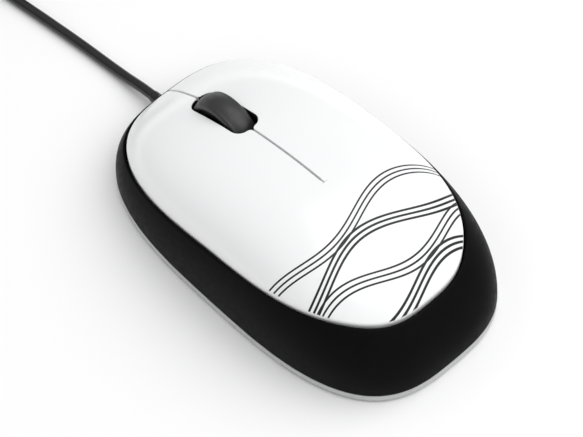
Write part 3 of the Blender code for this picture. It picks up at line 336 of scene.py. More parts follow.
def material(name, colour, roughness, **sockets):
    """A Principled material. What is the same all over is set on the shader itself."""
    made = bpy.data.materials.new(name)
    made.use_nodes = True
    made.diffuse_color = (*colour, 1.0)
    shader = made.node_tree.nodes["Principled BSDF"]
    shader.inputs["Base Color"].default_value = (*colour, 1.0)
    shader.inputs["Roughness"].default_value = roughness
    for socket, value in sockets.items():
        shader.inputs[socket.replace("_", " ")].default_value = value
    return made


def shader_of(look):
    return look.node_tree.nodes["Principled BSDF"]


def coordinates(look, kind="Object"):
    tree = look.node_tree
    return tree.nodes.new("ShaderNodeTexCoord").outputs[kind]


def noise(look, size, detail=2.0, stretch=(1, 1, 1)):
    """Noise whose features are about size across, in metres."""
    tree = look.node_tree
    scaled = tree.nodes.new("ShaderNodeMapping")
    scaled.inputs["Scale"].default_value = [s / size for s in stretch]
    tree.links.new(coordinates(look), scaled.inputs["Vector"])
    node = tree.nodes.new("ShaderNodeTexNoise")
    node.inputs["Scale"].default_value = 1.0
    node.inputs["Detail"].default_value = detail
    tree.links.new(scaled.outputs["Vector"], node.inputs["Vector"])
    return Field(tree, node.outputs["Fac"])


def vary_gloss(look, field, low, high):
    look.node_tree.links.new(field.ramp(0.3, 0.7, low, high).socket, shader_of(look).inputs["Roughness"])


def bump(look, field, height):
    tree = look.node_tree
    node = tree.nodes.new("ShaderNodeBump")
    node.inputs["Strength"].default_value = 1.0
    node.inputs["Distance"].default_value = height
    tree.links.new(field.socket, node.inputs["Height"])
    tree.links.new(node.outputs["Normal"], shader_of(look).inputs["Normal"])


def tint(look, field, first, second):
    """The colour goes from first to second as the field goes from 0 to 1."""
    tree = look.node_tree
    node = tree.nodes.new("ShaderNodeMix")
    node.data_type = "RGBA"
    node.inputs["A"].default_value = (*first, 1.0)
    node.inputs["B"].default_value = (*second, 1.0)
    tree.links.new(field.socket, node.inputs["Factor"])
    tree.links.new(node.outputs["Result"], shader_of(look).inputs["Base Color"])
    return node


def moulded(name, colour, gloss, grain, depth, spread=0.12, **sockets):
    """Moulded plastic or rubber: fine grain, and slow changes of tone and gloss."""
    look = material(name, colour, gloss, **sockets)
    darker = tuple(c * (1 - spread) for c in colour)
    tint(look, noise(look, 6 * MM).ramp(0.25, 0.75), darker, colour)
    vary_gloss(look, noise(look, 1.5 * MM, 3.0), gloss * 0.88, gloss * 1.12)
    bump(look, noise(look, grain, 3.0), depth)
    return look


# ---------------------------------------------------------------- the printed pattern


def line_at(distance, width):
    """1 on a printed line where the distance is near 0."""
    return distance.size().ramp(width / 2 + 0.05, width / 2 - 0.05)


def lines_at(distance, offsets, width):
    drawn = None
    for offset in offsets:
        line = line_at(distance - offset, width)
        drawn = line if drawn is None else drawn.most(line)
    return drawn


def wave(x, y, height, start):
    """Distance above a wavy line across the cover, in millimetres."""
    bent = (x * (2 * math.pi / WAVE_LENGTH) + start).math("SINE") * WAVE_SWING
    return y - (bent + height)


def line_art(look):
    """A plain repeat: bundles of parallel waves, each a third of a wave on from the last."""
    tree = look.node_tree
    split = tree.nodes.new("ShaderNodeSeparateXYZ")
    tree.links.new(coordinates(look), split.inputs["Vector"])
    x = Field(tree, split.outputs["X"]) * 1000
    y = Field(tree, split.outputs["Y"]) * 1000
    drawn = None
    for k in range(WAVE_BUNDLES):
        centre = wave(x, y, WAVE_START - k * WAVE_STEP, 2 * math.pi * k / 3)
        bundle = lines_at(centre, (-WAVE_PITCH, 0.0, WAVE_PITCH), WAVE_LINES[k % 2])
        drawn = bundle if drawn is None else drawn.most(bundle)
    return drawn


def make_cover_look():
    """White gloss with the printed lines, which are duller and stop where the edge turns down."""
    white, ink = (0.86, 0.865, 0.87), (0.004, 0.004, 0.0045)
    look = material("cover_gloss", white, 0.2, Specular_IOR_Level=0.4)
    split = look.node_tree.nodes.new("ShaderNodeSeparateXYZ")
    look.node_tree.links.new(coordinates(look, "Normal"), split.inputs["Vector"])
    upward = Field(look.node_tree, split.outputs["Z"])
    print_mask = line_art(look) * upward.ramp(0.25, 0.5)
    tint(look, print_mask, white, ink)
    speckle = noise(look, 2.5 * MM, 3.0).ramp(0.3, 0.7, 0.15, 0.20)
    gloss = speckle + print_mask * 0.25
    look.node_tree.links.new(gloss.socket, shader_of(look).inputs["Roughness"])
    bump(look, noise(look, 1.8 * MM, 1.0), 0.0022 * MM)
    return look


# ---------------------------------------------------------------- the form


def rounded(value):
    return math.copysign(abs(value) ** (2 / FORM_POWER), value)


def crown_z(y):
    share = y / HALF_LENGTH
    return sum(height * share ** power for power, height in enumerate(CROWN))


def crown_slope(y):
    share = y / HALF_LENGTH
    terms = (power * height * share ** (power - 1) for power, height in enumerate(CROWN) if power)
    return sum(terms) / HALF_LENGTH


def form_rise(x, y, inset=0.0):
    reach = abs(x / (HALF_WIDTH - inset)) ** FORM_POWER + abs(y / (HALF_LENGTH - inset)) ** FORM_POWER
    return max(0.0, 1 - reach) ** (1 / FORM_POWER)


def form_z(x, y, inset=0.0):
    return FORM_FOOT_Z + (crown_z(y) - inset - FORM_FOOT_Z) * form_rise(x, y, inset)


def form_normal(x, y):
    rise = max(form_rise(x, y), 0.02)
    tall = crown_z(y) - FORM_FOOT_Z
    slope_x = -tall * x * abs(x) / HALF_WIDTH ** 3 / rise ** 2
    slope_y = crown_slope(y) * rise - tall * y * abs(y) / HALF_LENGTH ** 3 / rise ** 2
    return Vector((-slope_x, -slope_y, 1)).normalized()


def form_xy(angle, share=1.0, inset=0.0):
    x = share * (HALF_WIDTH - inset) * rounded(math.sin(angle))
    y = share * (HALF_LENGTH - inset) * rounded(math.cos(angle))
    return Vector((x, y))


def form_share(angle, z, inset=0.0):
    """The share of the way to the outline at which the form has height z."""
    share = 1.0
    for _ in range(12):
        y = form_xy(angle, share, inset).y
        rise = min(1.0, (z - FORM_FOOT_Z) / (crown_z(y) - inset - FORM_FOOT_Z))
        share = (1 - rise ** FORM_POWER) ** (1 / FORM_POWER)
    return share


def seam_share(angle):
    nose = SEAM_NOSE * ((1 + math.cos(angle)) / 2) ** SEAM_NOSE_POWER
    return nose + sum(term * math.cos(k * angle) for k, term in enumerate(SEAM))


def seam_point(angle, gap=0.0):
    return form_xy(angle, seam_share(angle) - gap / HALF_WIDTH)


def even_angles(count, place):
    """Angles all round at which place(angle) moves by even steps, with 0 and pi among them."""
    dense = np.linspace(0, math.pi, 3000)
    points = np.array([place(a) for a in dense])
    length = np.concatenate([[0], np.cumsum(np.linalg.norm(np.diff(points, axis=0), axis=1))])
    half = np.interp(np.linspace(0, length[-1], count // 2 + 1), length, dense)
    return [float(a) for a in half] + [float(2 * math.pi - a) for a in half[-2:0:-1]]


# ---------------------------------------------------------------- meshes


def new_object(name, mesh, look, body, slot, *nodes):
    """A shown piece from a bmesh, riding on a body and standing for CAD nodes."""
    data = bpy.data.meshes.new(name)
    mesh.to_mesh(data)
    mesh.free()
    return show(bpy.data.objects.new(name, data), look, body, slot, *nodes)


def show(obj, look, body, slot, *nodes):
    if not obj.users_collection:
        bpy.context.scene.collection.objects.link(obj)
    obj.data.materials.clear()
    obj.data.materials.append(look)
    if body:
        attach(obj, body)
    if nodes:
        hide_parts(*nodes)
    return obj


def smooth(obj, degrees=35):
    obj.data.shade_smooth()
    obj.data.set_sharp_from_angle(angle=math.radians(degrees))
    return obj


def set_normals(obj, normals):
    """Gives the faces whose corners all have a known normal those normals."""
    mesh = obj.data
    custom = [(0.0, 0.0, 0.0)] * len(mesh.loops)
    for face in mesh.polygons:
        if all(v in normals for v in face.vertices):
            for loop, vertex in zip(face.loop_indices, face.vertices):
                custom[loop] = tuple(normals[vertex])
    mesh.normals_split_custom_set(custom)


def loft(rings):
    """A ring-shaped body through loops of points, the last loop joined to the first."""
    mesh = bmesh.new()
    loops = [[mesh.verts.new(point) for point in ring] for ring in rings]
    for first, second in zip(loops, loops[1:] + loops[:1]):
        for i in range(len(first)):
            j = (i + 1) % len(first)
            mesh.faces.new((first[i], first[j], second[j], second[i]))
    bmesh.ops.recalc_face_normals(mesh, faces=mesh.faces)
    return mesh


def turned_mesh(profile, origin, axis, steps=64):
    """A profile of (radius, height) points, closed at both ends, turned about an axis."""
    turn = Vector(axis).to_track_quat("Z", "Y")
    rings = []
    for k in range(steps):
        angle = 2 * math.pi * k / steps
        spoke = Vector((math.cos(angle), math.sin(angle), 0))
        rings.append([spoke * r + Vector((0, 0, h)) for r, h in profile])
    mesh = bmesh.new()
    columns = [[mesh.verts.new(turn @ p + Vector(origin)) for p in ring] for ring in rings]
    for first, second in zip(columns, columns[1:] + columns[:1]):
        for i in range(len(profile) - 1):
            mesh.faces.new((first[i], first[i + 1], second[i + 1], second[i]))
    bmesh.ops.remove_doubles(mesh, verts=mesh.verts, dist=1e-7)
    bmesh.ops.recalc_face_normals(mesh, faces=mesh.faces)
    return mesh


def arc(centre, radius, start, end, steps):
    """Points on an arc, its angles in degrees."""
    turns = [math.radians(start + (end - start) * i / steps) for i in range(steps + 1)]
    return [(centre[0] + radius * math.cos(a), centre[1] + radius * math.sin(a)) for a in turns]


# ---------------------------------------------------------------- the cover's skins


def spaced(points, step):
    """A line of points with more put in, so that none is further than step from the next."""
    filled = []
    for start, end in zip(points, points[1:]):
        count = max(1, math.ceil((end - start).length / step))
        filled += [start.lerp(end, i / count) for i in range(count)]
    filled.append(points[-1])
    return filled


def seam_run(start_y, end_angle, side):
    """The cover's edge on one side, from a height y to an angle."""
    low, high = 0.0, math.pi
    for _ in range(50):
        middle = (low + high) / 2
        if seam_point(middle, SEAM_GAP).y > start_y:
            low = middle
        else:
            high = middle
    angles = [a for a in even_angles(260, seam_point) if a <= math.pi]
    lowest, highest = sorted((low, end_angle))
    kept = [a for a in angles if lowest + 0.002 < a < highest - 0.002]
    ordered = [lowest, *kept, highest]
    if end_angle < low:
        ordered.reverse()
    points = [seam_point(a, SEAM_GAP) for a in ordered]
    return [Vector((side * p.x, p.y)) for p in points]


def edge_directions(outline):
    """For each place, the way out, and the way out stretched so that a rounding keeps its width
    at a corner. Both are None along a border."""
    places = [place for place, _ in outline]
    count = len(places)
    outward, reach = [], []
    for i, (place, rounding) in enumerate(outline):
        ahead = places[(i + 1) % count] - place
        behind = place - places[i - 1]
        out_a = Vector((ahead.y, -ahead.x)).normalized()
        out_b = Vector((behind.y, -behind.x)).normalized()
        free_a = rounding is not None and outline[(i + 1) % count][1] is not None
        free_b = rounding is not None and outline[i - 1][1] is not None
        if free_a and free_b:
            middle = (out_a + out_b).normalized()
            outward.append(middle)
            reach.append(middle / max(MITRE_LIMIT, middle.dot(out_a)))
        elif free_a or free_b:
            own, along = (out_a, behind) if free_a else (out_b, ahead)
            border = along.normalized()
            border = border if border.dot(own) > 0 else -border
            outward.append(own)
            reach.append(border / max(MITRE_LIMIT, border.dot(own)))
        else:
            outward.append(None)
            reach.append(None)
    return outward, reach


def skin_plan(outline):
    """The plan cut into faces. Each place comes with its lean: (drop, angle, way out)."""
    outward, reach = edge_directions(outline)
    count = len(outline)
    flat, lean, rows = [], [], []
    for k in range(EDGE_STEPS + 1):
        angle = math.pi / 2 * k / EDGE_STEPS
        row = []
        for i, (place, rounding) in enumerate(outline):
            if outward[i] is None:
                row.append(rows[0][i] if k else len(flat))
                if not k:
                    flat.append(place)
                    lean.append((0.0, math.pi / 2, None))
                continue
            row.append(len(flat))
            flat.append(place - reach[i] * rounding * (1 - math.cos(angle)))
            lean.append((rounding * (1 - math.sin(angle)), angle, outward[i]))
        rows.append(row)
    edges = []
    for row in rows:
        for a, b in zip(row, row[1:] + row[:1]):
            if a != b:
                edges.append((a, b))
    border = np.array([tuple(place) for place, _ in outline])
    inner = inside_points(border, np.roll(border, -1, axis=0))
    flat += [Vector(p) for p in inner]
    lean += [(0.0, math.pi / 2, None)] * len(inner)
    places, _, faces, sources = delaunay_2d_cdt(flat, edges, [rows[0]], 1, 1e-9)[:4]
    leans = [lean[found[0]] if found else (0.0, math.pi / 2, None) for found in sources]
    return places, faces, leans


def skin(name, outline, body, nodes):
    """A shell whose plan is the outline: (place, rounding) all round, counter-clockwise.

    A rounding of None is a border that another skin goes on from.
    """
    places, faces, leans = skin_plan(outline)
    mesh = bmesh.new()
    top, bottom, normals = [], [], {}
    for i, (place, (drop, angle, out)) in enumerate(zip(places, leans)):
        x, y = place
        top.append(mesh.verts.new((x, y, form_z(x, y) - drop)))
        normal = form_normal(x, y)
        if out is not None:
            sideways = Vector((out.x, out.y, 0))
            normal = (normal * math.sin(angle) + sideways * math.cos(angle)).normalized()
        normals[i] = normal
    for place in places:
        bottom.append(mesh.verts.new((*place, form_z(*place, COVER_WALL))))
    for face in faces:
        corners = [places[i] for i in face]
        area = (corners[1] - corners[0]).cross(corners[2] - corners[0])
        order = face if area > 0 else face[::-1]
        mesh.faces.new([top[i] for i in order])
        mesh.faces.new([bottom[i] for i in reversed(order)])
    rim = [edge for edge in mesh.edges if edge.is_boundary]
    top_index = {v: i for i, v in enumerate(top)}
    for edge in rim:
        a, b = edge.verts
        if a in top_index and b in top_index:
            i, j = top_index[a], top_index[b]
            mesh.faces.new((top[j], top[i], bottom[i], bottom[j]))
    bmesh.ops.recalc_face_normals(mesh, faces=mesh.faces)
    obj = new_object(name, mesh, COVER_LOOK, body, "cover", *nodes)
    smooth(obj, 30)
    set_normals(obj, normals)
    # painted shade: the slot's walls get a near-black material in place of the cover's white
    paint_slot_shade(obj)
    return obj


def paint_slot_shade(obj):
    """Paints the walls of the wheel's slot near-black: painted shade for the hollow, on walls that are
    the white cover's own moulding.
    """
    obj.data.materials.append(SLOT_SHADE_LOOK)
    for face in obj.data.polygons:
        x, y, _ = face.center
        beside = SLIT < abs(x) < SLOT_HALF + SLOT_ROUND
        along = abs(y - WHEEL_CENTRE.y) < WHEEL_RADIUS + 2 * MM
        if beside and along and face.normal.z < WALL_LEAN:
            face.material_index = 1


def inside_points(border, following):
    """A grid of places inside a closed line and well clear of it."""
    low, high = border.min(0), border.max(0)
    xs = np.arange(low[0] + SKIN_STEP / 2, high[0], SKIN_STEP)
    ys = np.arange(low[1] + SKIN_STEP / 2, high[1], SKIN_STEP)
    grid = np.array([(x, y) for y in ys for x in xs])
    run = following - border
    offset = grid[:, None, :] - border[None, :, :]
    along = (offset * run).sum(2) / np.maximum((run * run).sum(1), 1e-18)
    nearest = offset - np.clip(along, 0, 1)[:, :, None] * run
    distance = np.sqrt((nearest ** 2).sum(2)).min(1)
    crossing = (border[None, :, 1] > grid[:, None, 1]) != (following[None, :, 1] > grid[:, None, 1])
    safe = np.where(run[:, 1] == 0, 1e-18, run[:, 1])
    x_at = border[:, 0] + (grid[:, None, 1] - border[:, 1]) * run[:, 0] / safe
    inside = (crossing & (grid[:, None, 0] < x_at)).sum(1) % 2 == 1
    return grid[inside & (distance > SKIN_CLEAR)]


def tyre_reach(way):
    """How far from the axle, ahead or behind, the tyre passes the cover's inside."""
    reach = WHEEL_RADIUS
    for _ in range(20):
        rise = form_z(0, WHEEL_CENTRE.y + way * reach) - COVER_WALL - WHEEL_CENTRE.z
        reach = math.sqrt(WHEEL_RADIUS ** 2 - rise ** 2)
    return reach


def palm_outline():
    rounding = SEAM_ROUND
    left = seam_run(SPLIT_Y, math.pi, -1)
    right = seam_run(SPLIT_Y, math.pi, 1)
    edge = left + right[::-1][1:]
    across = spaced([edge[-1], Vector((0, SPLIT_Y)), edge[0]], SKIN_STEP)[1:-1]
    return [(p, rounding) for p in edge] + [(p, None) for p in across]


def button_outline(side):
    """Half of the front: out along the shared border, round the seam, back down the slit."""
    half = SLIT / 2
    slot_front = WHEEL_CENTRE.y + tyre_reach(1) + SLOT_FRONT_GAP
    slot_rear = WHEEL_CENTRE.y - tyre_reach(-1) - SLOT_REAR_GAP
    seam = seam_run(SPLIT_Y, 0.0, 1)
    seam = [p for p in seam if p.x > half + 0.05 * MM]
    tip = Vector((half, seam[-1].y))
    border = spaced([Vector((0, SPLIT_Y)), seam[0]], SKIN_STEP)[1:-1]
    points = [(Vector((0, SPLIT_Y)), None)] + [(p, None) for p in border]
    points += [(p, SEAM_ROUND) for p in seam] + [(tip, SEAM_ROUND)]
    mouth, corner = SLOT_MOUTH, SLOT_CORNER
    widen = SLOT_ROUND - SLIT_ROUND
    front_arc = arc((half + mouth, slot_front + mouth), mouth, 180, 270, 5)
    outer_arc = arc((SLOT_HALF - corner, slot_front - corner), corner, 90, 0, 12)
    rear_arc = arc((SLOT_HALF - corner, slot_rear + corner), corner, 0, -90, 12)
    mouth_arc = arc((half + mouth, slot_rear - mouth), mouth, 90, 180, 5)
    slit_front = spaced([tip, Vector(front_arc[0])], 0.8 * MM)[1:-1]
    points += [(p, SLIT_ROUND) for p in slit_front]
    points += [(Vector(p), SLIT_ROUND + widen * k / 5) for k, p in enumerate(front_arc)]
    points += [(Vector(p), SLOT_ROUND) for p in outer_arc]
    side_run = spaced([Vector(outer_arc[-1]), Vector(rear_arc[0])], 0.8 * MM)[1:-1]
    points += [(p, SLOT_ROUND) for p in side_run]
    points += [(Vector(p), SLOT_ROUND) for p in rear_arc]
    points += [(Vector(p), SLOT_ROUND - widen * k / 5) for k, p in enumerate(mouth_arc)]
    fade_y = FLEX_Y + SLIT_FADE
    slit_rear = spaced([Vector(mouth_arc[-1]), Vector((half, fade_y))], 0.8 * MM)[1:]
    points += [(p, SLIT_ROUND) for p in slit_rear]
    for k in range(1, 6):
        share = k / 6
        place = Vector((half * math.sqrt(1 - share), fade_y - SLIT_FADE * share))
        points.append((place, SLIT_ROUND * (1 - share)))
    points.append((Vector((0, FLEX_Y)), None))
    shared = spaced([Vector((0, FLEX_Y)), Vector((0, SPLIT_Y))], SKIN_STEP)[1:-1]
    points += [(p, None) for p in shared]
    if side < 0:
        points = [(Vector((-p.x, p.y)), r) for p, r in reversed(points)]
    return points


def make_cover():
    skin("palm_shell", palm_outline(), "casing", ["palm_cover"])
    for side, name in ((-1, "left_button"), (1, "right_button")):
        shell = skin(name + "_shell", button_outline(side), None, [name])
        height = form_z(0, FLEX_Y)
        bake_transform(shell)


# ---------------------------------------------------------------- the band and the base


def foot_z(x, y):
    """The band's lower edge, with an arch over the cord's boot at the front."""
    if y > 0 and abs(x) < ARCH_RADIUS:
        return CORD_EXIT.z + math.sqrt(ARCH_RADIUS ** 2 - x * x)
    return BAND_FOOT_Z


def ring_angles(count):
    """Even angles round the outline, with a few more round the cord's arch."""
    clear = ARCH_RADIUS + 0.4 * MM
    angles = even_angles(count, form_xy)
    kept = [a for a in angles if not (form_xy(a).y > 0 and abs(form_xy(a).x) < clear)]
    just_inside = 0.9999 * ARCH_RADIUS
    just_outside = ARCH_RADIUS + 0.02 * MM
    turns = [math.pi / 2 * k / ARCH_STEPS for k in range(-ARCH_STEPS, ARCH_STEPS + 1)]
    extra = [just_inside * math.sin(turn) for turn in turns] + [-just_outside, just_outside]
    for x in extra:
        angle = math.asin((abs(x) / HALF_WIDTH) ** (FORM_POWER / 2))
        kept.append(angle if x >= 0 else 2 * math.pi - angle)
    return sorted(set(kept))


def band_profile(angle):
    """Up the outside, over the rounded edge, in under the cover and down the inside.
    Each point comes with its normal, where it is on the outside."""
    seam = seam_share(angle)
    top = form_xy(angle, seam)
    step = form_xy(angle, seam + 0.001) - top
    outward = step.normalized()
    foot = foot_z(*form_xy(angle, 0.985))
    outside = []
    start = math.acos(min(1.0, form_share(angle, foot) ** (FORM_POWER / 2)))
    round_share = seam + BAND_ROUND / step.length * 0.001
    end = math.acos(round_share ** (FORM_POWER / 2))
    dense = [start + (end - start) * i / BAND_DENSE for i in range(BAND_DENSE + 1)]
    shares = [math.cos(a) ** (2 / FORM_POWER) for a in dense]
    places = [form_xy(angle, s) for s in shares]
    points = [Vector((p.x, p.y, form_z(p.x, p.y))) for p in places]
    length = [0.0]
    for a, b in zip(points, points[1:]):
        length.append(length[-1] + (b - a).length)
    for k in range(BAND_ROWS + 1):
        share = np.interp(length[-1] * k / BAND_ROWS, length, shares)
        p = form_xy(angle, float(share))
        z = foot if k == 0 else form_z(p.x, p.y)
        outside.append((Vector((p.x, p.y, z)), form_normal(p.x, p.y)))
    for k in reversed(range(BAND_EDGE_STEPS)):
        turn = math.pi / 2 * k / BAND_EDGE_STEPS
        q = top + outward * BAND_ROUND * (1 - math.cos(turn))
        drop = BAND_ROUND * (1 - math.sin(turn))
        normal = form_normal(q.x, q.y) * math.sin(turn) - Vector((*outward, 0)) * math.cos(turn)
        outside.append((Vector((q.x, q.y, form_z(q.x, q.y) - drop)), normal.normalized()))
    ledge_z = form_z(*top, COVER_WALL) - LEDGE_DROP
    ledge = form_xy(angle, seam - LEDGE_WIDTH / HALF_WIDTH)
    under = max(ledge_z - LEDGE_DROP, foot + SEAM_GAP)
    inside = [(*top, ledge_z), (*ledge, ledge_z), (*ledge, under)]
    for k in range(BAND_INNER_ROWS + 1):
        z = under + (foot - under) * k / BAND_INNER_ROWS
        share = form_share(angle, max(z, FORM_FOOT_Z + 0.5 * MM), BAND_WALL)
        inside.append((*form_xy(angle, share, BAND_WALL), z))
    return outside + [(Vector(p), None) for p in inside]


def make_band():
    profiles = [band_profile(angle) for angle in ring_angles(220)]
    mesh = loft([[p for p, _ in profile] for profile in profiles])
    band = new_object("band_shell", mesh, BAND_LOOK, "casing", "band", "side_band")
    smooth(band, 30)
    count = len(profiles[0])
    normals = {}
    for i, profile in enumerate(profiles):
        for k, (_, normal) in enumerate(profile):
            if normal is not None:
                normals[i * count + k] = normal
    set_normals(band, normals)


# ---------------------------------------------------------------- lights and floor


def make_softbox():
    data = bpy.data.lights.new("softbox", "AREA")
    data.shape = "RECTANGLE"
    data.size, data.size_y = SOFTBOX_SIDE, SOFTBOX_SIDE
    data.energy = SOFTBOX_POWER
    light = bpy.data.objects.new("softbox", data)
    light.location = SOFTBOX_PLACE
    light.visible_camera = False
    light.rotation_euler = (SOFTBOX_AIM - SOFTBOX_PLACE).to_track_quat("-Z", "Y").to_euler()
    bpy.context.scene.collection.objects.link(light)


def make_studio():
    mesh = bmesh.new()
    bmesh.ops.create_grid(mesh, x_segments=1, y_segments=1, size=FLOOR_HALF)
    data = bpy.data.meshes.new("floor")
    mesh.to_mesh(data)
    mesh.free()
    floor = bpy.data.objects.new("floor", data)
    look = material("floor_white", (0.92, 0.92, 0.92), 0.6, Specular_IOR_Level=0.1)
    data.materials.append(look)
    bpy.context.scene.collection.objects.link(floor)
    make_sky()
    make_softbox()


def make_sky():
    """A soft white dome: brightest at the horizon, dimmer above it, and paler overhead."""
    world = bpy.data.worlds.new("studio")
    world.use_nodes = True
    split = world.node_tree.nodes.new("ShaderNodeSeparateXYZ")
    world.node_tree.links.new(coordinates(world, "Generated"), split.inputs["Vector"])
    height = Field(world.node_tree, split.outputs["Z"])
    strength = height.ramp(0.0, 0.14, 2.0, 0.0) + height.ramp(0.10, 0.95, 0.26, 0.78)
    background = world.node_tree.nodes["Background"]
    background.inputs["Color"].default_value = (1.0, 1.0, 1.0, 1.0)
    world.node_tree.links.new(strength.socket, background.inputs["Strength"])
    bpy.context.scene.world = world
    bpy.context.scene.view_settings.view_transform = "Standard"


# ---------------------------------------------------------------- the wheel


def make_tyre():
    """A tyre on the hub's rim, its tread slightly domed between round shoulders."""
    shoulder_x = TYRE_HALF - TYRE_SHOULDER
    shoulder_r = WHEEL_RADIUS - TYRE_DOME - TYRE_SHOULDER
    inner = WHEEL_RADIUS - TYRE_THICKNESS
    half = [(WHEEL_RADIUS - TYRE_DOME * (k / 10) ** 2, shoulder_x * k / 10) for k in range(10)]
    half += [(r, x) for x, r in arc((shoulder_x, shoulder_r), TYRE_SHOULDER, 84, 0, 8)]
    half += [(inner + TYRE_LIP, TYRE_HALF), (inner, TYRE_HALF - TYRE_LIP)]
    profile = [(r, -x) for r, x in reversed(half[1:])] + half
    mesh = turned_mesh([*profile, profile[0]], WHEEL_CENTRE, (1, 0, 0), 128)
    smooth(new_object("wheel_tread", mesh, TYRE_LOOK, "wheel", "tyre_rubber", "wheel_tyre"), 50)


# ---------------------------------------------------------------- the base plate


def outline_ring(inset, z, angles):
    return [(*form_xy(angle, 1.0, inset), z) for angle in angles]


def boolean(mesh_object, other, operation):
    change = mesh_object.modifiers.new("cut", "BOOLEAN")
    change.operation = operation
    change.solver = "EXACT"
    change.object = other


def make_base():
    """The casing's base plate with a finely rounded edge joined on round it."""
    angles = even_angles(240, form_xy)
    rows = [(BASE_EDGE * (1 - math.sin(t)), BASE_LOW + BASE_EDGE * (1 - math.cos(t)))
            for t in (math.pi / 2 * k / 5 for k in range(6))]
    rows += [(0.0, BASE_RIM - BASE_CHAMFER), (BASE_CHAMFER, BASE_RIM)]
    rows += [(BAND_WALL / 2, BASE_RIM), (BAND_WALL / 2, BASE_LOW)]
    edge_mesh = loft([outline_ring(inset, z, angles) for inset, z in rows])
    edge_data = bpy.data.meshes.new("base_edge")
    edge_mesh.to_mesh(edge_data)
    edge_mesh.free()
    edge = bpy.data.objects.new("base_edge", edge_data)
    notch_mesh = bmesh.new()
    size = Vector((2 * ARCH_RADIUS, 6 * MM, 4 * MM))
    spot = Vector((0, HALF_LENGTH, CORD_EXIT.z - ARCH_RADIUS + size.z / 2))
    place = Matrix.Translation(spot) @ Matrix.Diagonal((*size, 1))
    bmesh.ops.create_cube(notch_mesh, size=1.0, matrix=place)
    notch_data = bpy.data.meshes.new("cord_notch")
    notch_mesh.to_mesh(notch_data)
    notch_mesh.free()
    notch = bpy.data.objects.new("cord_notch", notch_data)
    plate = bpy.data.objects.new("base_tray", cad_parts["base_plate"].data.copy())
    for obj in (edge, notch, plate):
        bpy.context.scene.collection.objects.link(obj)
    boolean(edge, notch, "DIFFERENCE")
    boolean(plate, edge, "UNION")
    ready = plate.evaluated_get(bpy.context.evaluated_depsgraph_get())
    joined = bpy.data.meshes.new_from_object(ready)
    plate.modifiers.clear()
    plate.data = joined
    for obj in (edge, notch):
        bpy.data.objects.remove(obj)
    show(plate, BASE_LOOK, "casing", "base", "base_plate")
    smooth(plate, 28)


# ---------------------------------------------------------------- the cord's ends


def make_strain_relief():
    """A collar and a short taper outside the casing, and the neck and flange inside it."""
    low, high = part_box("strain_relief")
    collar = HALF_LENGTH + SEAM_GAP
    neck, brim = ARCH_RADIUS - SEAM_GAP, high.x
    tip = CORD_RADIUS + 0.15 * MM
    edge = 0.1 * MM
    flange = low.y + 1.4 * MM
    flange_part = [(0, low.y), (brim - edge, low.y), (brim, low.y + edge), (brim, flange), (neck, flange)]
    collar_part = [
        (neck, collar), (brim - edge, collar), (brim, collar + edge), (brim, collar + 0.8 * MM),
        (brim - 2 * edge, collar + 1.0 * MM), (neck, collar + 1.15 * MM),
    ]
    taper_part = [
        (neck - 0.02 * MM, collar + 1.5 * MM), (tip + 0.03 * MM, high.y - 0.25 * MM),
        (tip - 0.05 * MM, high.y - 0.04 * MM), (tip - 0.15 * MM, high.y), (0, high.y),
    ]
    profile = flange_part + collar_part + taper_part
    mesh = turned_mesh(profile, (0, 0, CORD_EXIT.z), (0, 1, 0), 48)
    smooth(new_object("cord_boot", mesh, CORD_LOOK, "casing", "cord", "strain_relief"), 40)


def make_plug():
    """A ribbed boot, and the moulded grip with its edges rounded."""
    low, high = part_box("plug_boot")
    length = high.y - low.y
    root = (high.x - low.x) / 2
    tip = CORD_RADIUS + 0.3 * MM
    edge = 0.1 * MM
    profile = [(0, low.y), (tip - edge, low.y)]
    steps = PLUG_RIBS * 8
    for k in range(steps + 1):
        share = k / steps
        groove = PLUG_RIB * (0.5 - 0.5 * math.cos(2 * math.pi * PLUG_RIBS * share))
        height = low.y + edge + (length - 2 * edge) * share
        profile.append((tip + (root - tip) * share - groove, height))
    profile += [(root - edge, high.y), (0, high.y)]
    mesh = turned_mesh(profile, (PLUG_AXIS.x, 0, PLUG_AXIS.z), (0, 1, 0), 48)
    smooth(new_object("plug_sleeve", mesh, CORD_LOOK, "casing", "cord", "plug_boot"), 40)

    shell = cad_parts["plug_grip"].data.copy()
    grip = bpy.data.objects.new("plug_body", shell)
    bpy.context.scene.collection.objects.link(grip)
    round_off = grip.modifiers.new("edges", "BEVEL")
    round_off.width = PLUG_EDGE
    round_off.segments = 3
    round_off.limit_method = "ANGLE"
    round_off.angle_limit = math.radians(40)
    ready = grip.evaluated_get(bpy.context.evaluated_depsgraph_get())
    rounded_mesh = bpy.data.meshes.new_from_object(ready)
    grip.modifiers.clear()
    grip.data = rounded_mesh
    show(grip, PLUG_LOOK, "casing", "plug_body", "plug_grip")
    smooth(grip, 35)


# ---------------------------------------------------------------- looks of the inner parts


def board_look():
    """Green solder mask over a net of lighter green tracks."""
    green, track = (0.008, 0.085, 0.032), (0.022, 0.19, 0.075)
    look = material("solder_mask", green, 0.28, Coat_Weight=0.3)
    tree = look.node_tree
    scaled = tree.nodes.new("ShaderNodeMapping")
    scaled.inputs["Scale"].default_value = (380, 380, 380)
    tree.links.new(coordinates(look), scaled.inputs["Vector"])
    cells = tree.nodes.new("ShaderNodeTexVoronoi")
    cells.feature = "DISTANCE_TO_EDGE"
    cells.distance = "EUCLIDEAN"
    tree.links.new(scaled.outputs["Vector"], cells.inputs["Vector"])
    gap = Field(tree, cells.outputs["Distance"])
    tint(look, gap.ramp(0.05, 0.11, 1.0, 0.0), green, track)
    bump(look, gap.ramp(0.03, 0.12, 1.0, 0.0), 0.02 * MM)
    vary_gloss(look, noise(look, 2 * MM), 0.22, 0.36)
    return look


